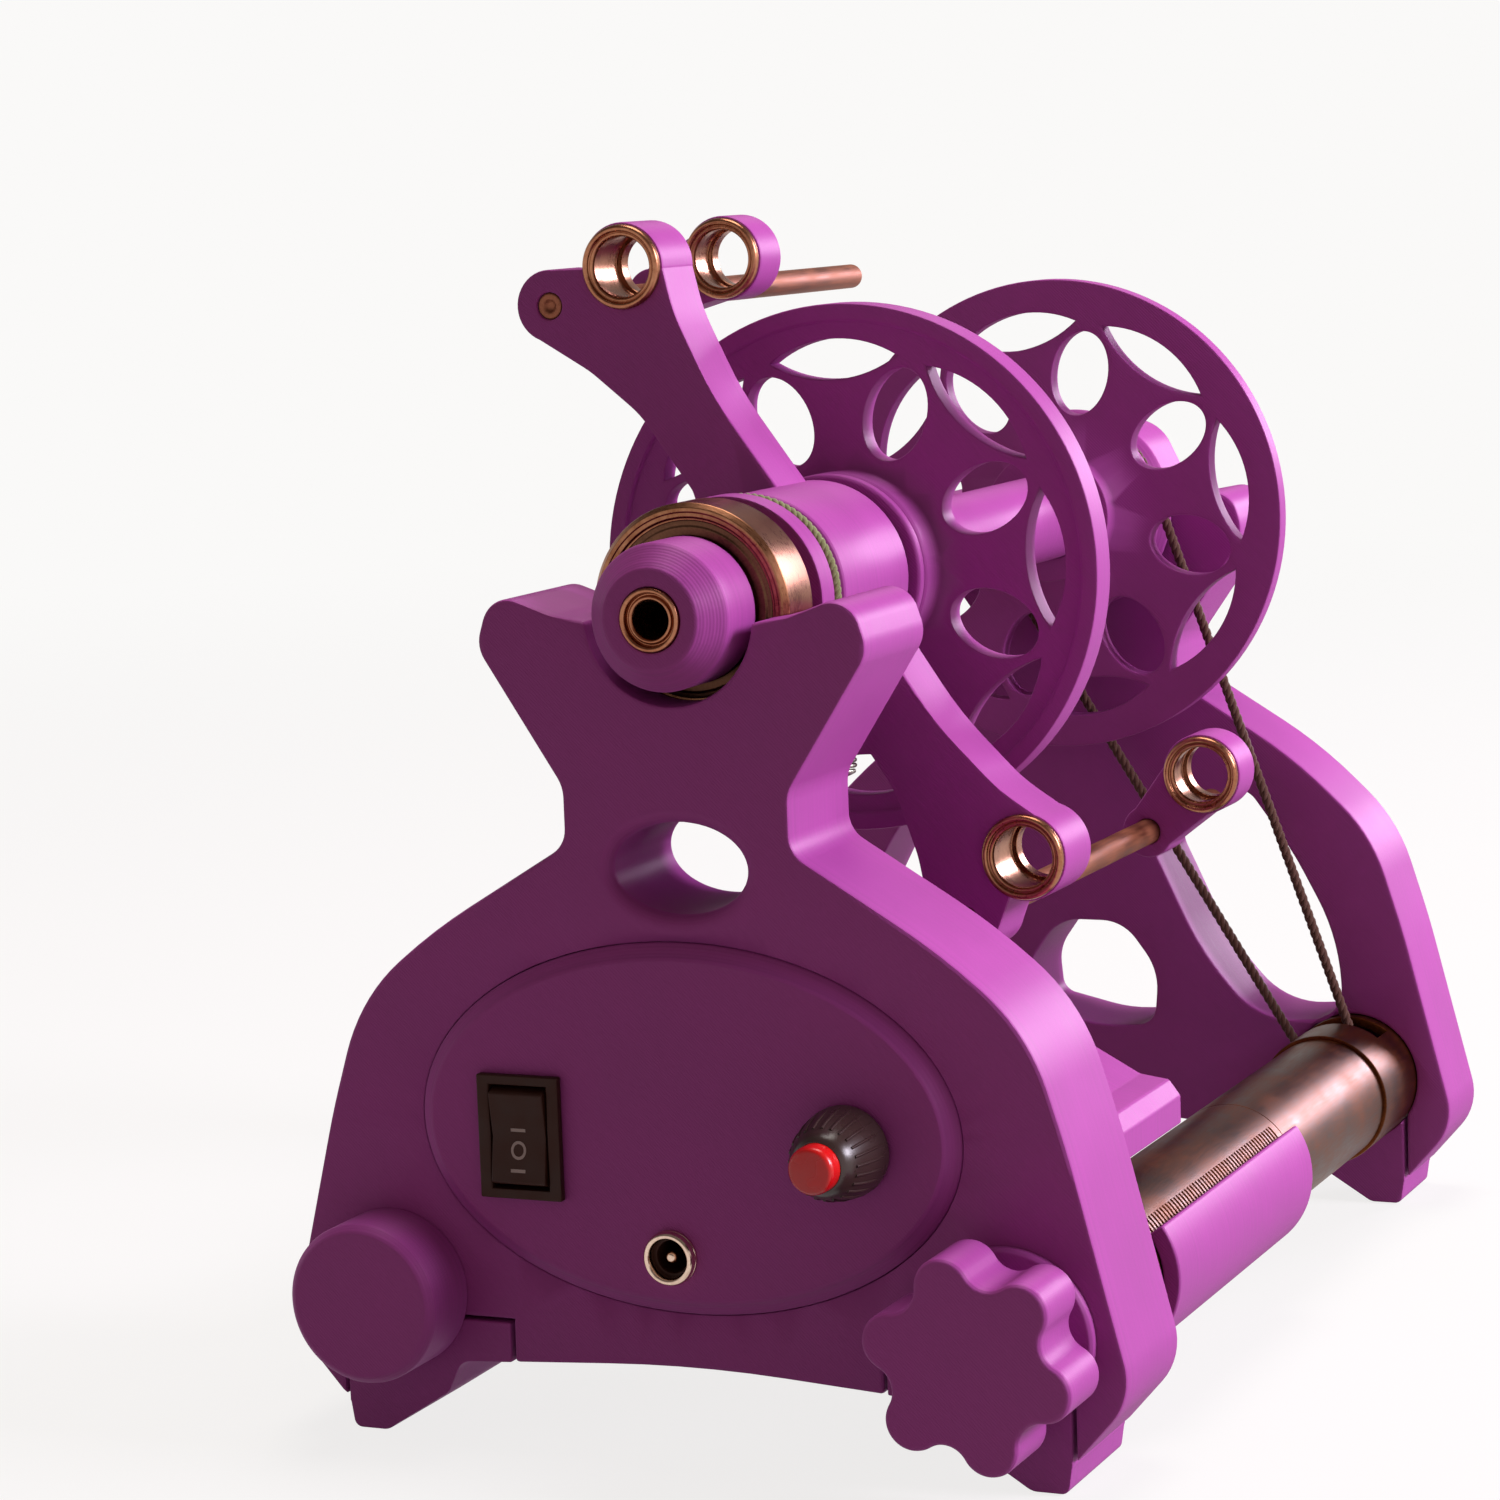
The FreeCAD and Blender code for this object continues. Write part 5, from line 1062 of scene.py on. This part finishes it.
class SPINNER_OT_controls(bpy.types.Operator):
    """Makes the rocker switch with its marks, the power jack and the speed knob"""
    bl_idname = "spinner.controls"
    bl_label = "Switch, jack and speed knob"

    def execute(self, context):
        softened("switch_body", "frame", 0.3, "black")
        softened("rocker", "rocker_switch", 0.3, "black")
        self.make_marks()
        self.make_jack()
        self.make_knob(context.scene.spinner_tube.knob_ribs)
        dress("potentiometer", "black")
        dress("pot_nut", "zinc")
        dress("pot_shaft", "zinc")
        return {"FINISHED"}

    @staticmethod
    def make_marks():
        """A dash, a ring and a dash, printed on the rocker's two slopes."""
        bm = bmesh.new()
        middle, fall, end = -3.58, 1.1, 7.55  # the rocker's depth, and its slope's fall at its ends

        def patch(rows):
            """A skin over rows of (across, rise) points, with its back just under the rocker."""
            for lift in (-0.04, 0.06):
                for near, far in zip(rows, rows[1:]):
                    corners = [bm.verts.new(at(SWITCH[0] + x, middle - fall * abs(z) / end + lift,
                                               SWITCH[1] + z))
                               for x, z in (near[0], near[1], far[1], far[0])]
                    bm.faces.new(corners if lift < 0 else corners[::-1])

        for rise in (1.3, -5.5):
            patch([((-1.35, rise + side), (1.35, rise + side)) for side in (-0.28, 0.28)])
        loop = []
        for i in range(49):
            across, up = math.cos(TURN * i / 48), math.sin(TURN * i / 48)
            loop.append(((0.95 * across, 1.05 * up - 2.1), (1.4 * across, 1.55 * up - 2.1)))
        patch(loop)
        piece("rocker_marks", bm, "rocker_switch", ("mark",))

    @staticmethod
    def make_jack():
        """The jack's metal nose, black barrel and centre pin."""
        front, floor = PANEL_FACE, 9.0
        turned("jack_ring_turned", "jack_ring", "frame", "nickel", JACK, [
            (3.3, front - 1.6), (3.6, front - 2.1), (4.05, front - 2.2), (4.4, front - 1.8),
            (4.6, front - 1.1), (4.45, front - 0.9), (4.45, front - 0.7), (4.6, front - 0.5),
            (4.6, front), (3.3, front)], 0.2, 64)
        turned("jack_barrel_moulded", "jack_barrel", "frame", "black", JACK, [
            (2.75, front), (3.9, front), (3.9, 14.0), (0, 14.0), (0, floor), (2.75, floor)], 0.2, 64)
        turned("jack_pin_turned", "jack_pin", "frame", "nickel", JACK, [
            (0, front - 0.8), (0.6, front - 0.8), (1.05, front - 0.2), (1.05, floor), (0, floor)],
            0.3, 32)

    @staticmethod
    def make_knob(ribs):
        """The bell-shaped knob with fine ribs and its red cap."""
        front = PANEL_FACE
        turned("speed_knob_bell", "speed_knob", "speed_dial", "knob", SPEED_KNOB, [
            (6.2, front - 0.6), (7.6, front - 0.6), (7.6, front - 2.2), (6.95, -8.0), (6.4, -10.6),
            (5.6, -13.0), (4.8, -14.3), (4.0, -15.0), (4.0, -14.0), (3.0, -13.0), (3.0, -6.5),
            (6.2, -6.5)], 0.4)
        bm = bmesh.new()
        bar(bm, [at(reach, depth, 0.0) for reach, depth in (
            (7.35, -4.6), (7.12, -6.4), (6.88, -8.4), (6.42, -10.4), (5.8, -12.4))], 0.26 * MM, 8)
        rib = welded("knob rib", bm)
        grip = grow(ring_tree(), "speed_knob_ribs", "knob", {
            "Count": ribs, "Copy": rib, "Centre": Vector((SPEED_KNOB[0], 0.0, SPEED_KNOB[1])) * MM})
        drop(rib)
        settle(grip, "speed_dial", ("knob",), (), 60.0)
        turned("speed_knob_red_cap", "speed_knob_cap", "speed_dial", "red", SPEED_KNOB, [
            (0, -13.0), (3.0, -13.0), (4.0, -14.0), (4.0, -17.2), (3.5, -18.0), (1.5, -18.25),
            (0, -18.3)], 0.5, 64)


class SPINNER_OT_screws(bpy.types.Operator):
    """Sets the foot screws and the cover screws"""
    bl_idname = "spinner.screws"
    bl_label = "Screws"

    @staticmethod
    def screw(head, tip, tilt):
        """One hexagon socket screw with its seat at the origin, tilted about X from upright."""
        thick, shank, socket, floor = 2.4, 1.5, 1.15, -1.3
        bm = bmesh.new()
        turn(bm, eased([(0, floor), (socket, floor), (socket, -thick), (head - 0.5, -thick),
                        (head, 0.6 - thick), (head, 0), (shank, 0), (shank, tip - 0.4),
                        (shank - 0.4, tip), (0, tip)], 0.2, 3), (0.0, -FRONT_FACE), 48, True)
        # the socket's wall is a hexagon, the rest is round
        sixth = math.pi / 3
        for vert in bm.verts:
            if vert.co.xy.length < 1.3 * MM and vert.co.z < (floor + 0.2) * MM:
                angle = math.atan2(vert.co.y, vert.co.x)
                vert.co.xy = vert.co.xy / math.cos((angle + sixth / 2) % sixth - sixth / 2)
        bmesh.ops.rotate(bm, verts=bm.verts, matrix=Matrix.Rotation(tilt, 3, "X"))
        return bm

    def execute(self, context):
        tree = spot_tree()
        for node, head, tip, tilt, spots in (
                ("foot_screws", 2.9, 16.8, 0.0,
                 [at(x, y, 16.2) for x in (-40.0, 40.0) for y in (13.0, 210.0)]),
                ("cover_screws", 2.8, 14.5, math.pi / 2, [at(x, 29.0, 43.2) for x in (-60.0, 60.0)])):
            source = welded(node + " copy", self.screw(head, tip, tilt))
            made = grow(tree, node + "_set", "zinc", {"Copy": source},
                        line_mesh(node + " spots", spots))
            drop(source)
            settle(made, "frame", ("zinc",), (node,))
        return {"FINISHED"}


# ---------------------------------------------------------------- panel and registration

class SPINNER_PT_panel(bpy.types.Panel):
    """Lists the spinner's pieces and their settings"""
    bl_idname = "SPINNER_PT_panel"
    bl_label = "Yarn spinner"
    bl_space_type = "VIEW_3D"
    bl_region_type = "UI"
    bl_category = "Spinner"

    def draw(self, context):
        column = self.layout.column()
        for name, group in SETTINGS.items():
            for setting in group.__annotations__:
                column.prop(getattr(context.scene, name), setting)
        for operator in OPERATORS:
            column.operator(operator.bl_idname)


SETTINGS = {
    "spinner_print": SpinnerPrintSettings,
    "spinner_tube": SpinnerTubeSettings,
    "spinner_cord": SpinnerCordSettings,
    "spinner_stage": SpinnerStageSettings,
}
OPERATORS = (
    SPINNER_OT_stage, SPINNER_OT_end_plates, SPINNER_OT_covers, SPINNER_OT_tubes, SPINNER_OT_flyer,
    SPINNER_OT_eyelets, SPINNER_OT_bearings, SPINNER_OT_bobbin, SPINNER_OT_drive, SPINNER_OT_brake,
    SPINNER_OT_controls, SPINNER_OT_screws,
)
CLASSES = (*SETTINGS.values(), *OPERATORS, SPINNER_PT_panel)


def register():
    """Registers the classes and hangs the settings on the scene."""
    for each in CLASSES:
        bpy.utils.register_class(each)
    for name, group in SETTINGS.items():
        setattr(bpy.types.Scene, name, bpy.props.PointerProperty(type=group))


def unregister():
    """Takes the settings and the classes away again."""
    for name in SETTINGS:
        delattr(bpy.types.Scene, name)
    for each in reversed(CLASSES):
        bpy.utils.unregister_class(each)


def main():
    register()
    bpy.ops.spinner.stage()
    bpy.ops.spinner.end_plates()
    bpy.ops.spinner.covers()
    bpy.ops.spinner.tubes()
    bpy.ops.spinner.flyer()
    bpy.ops.spinner.eyelets()
    bpy.ops.spinner.bearings()
    bpy.ops.spinner.bobbin()
    bpy.ops.spinner.drive()
    bpy.ops.spinner.brake()
    bpy.ops.spinner.controls()
    bpy.ops.spinner.screws()


if __name__ == "__main__":
    main()
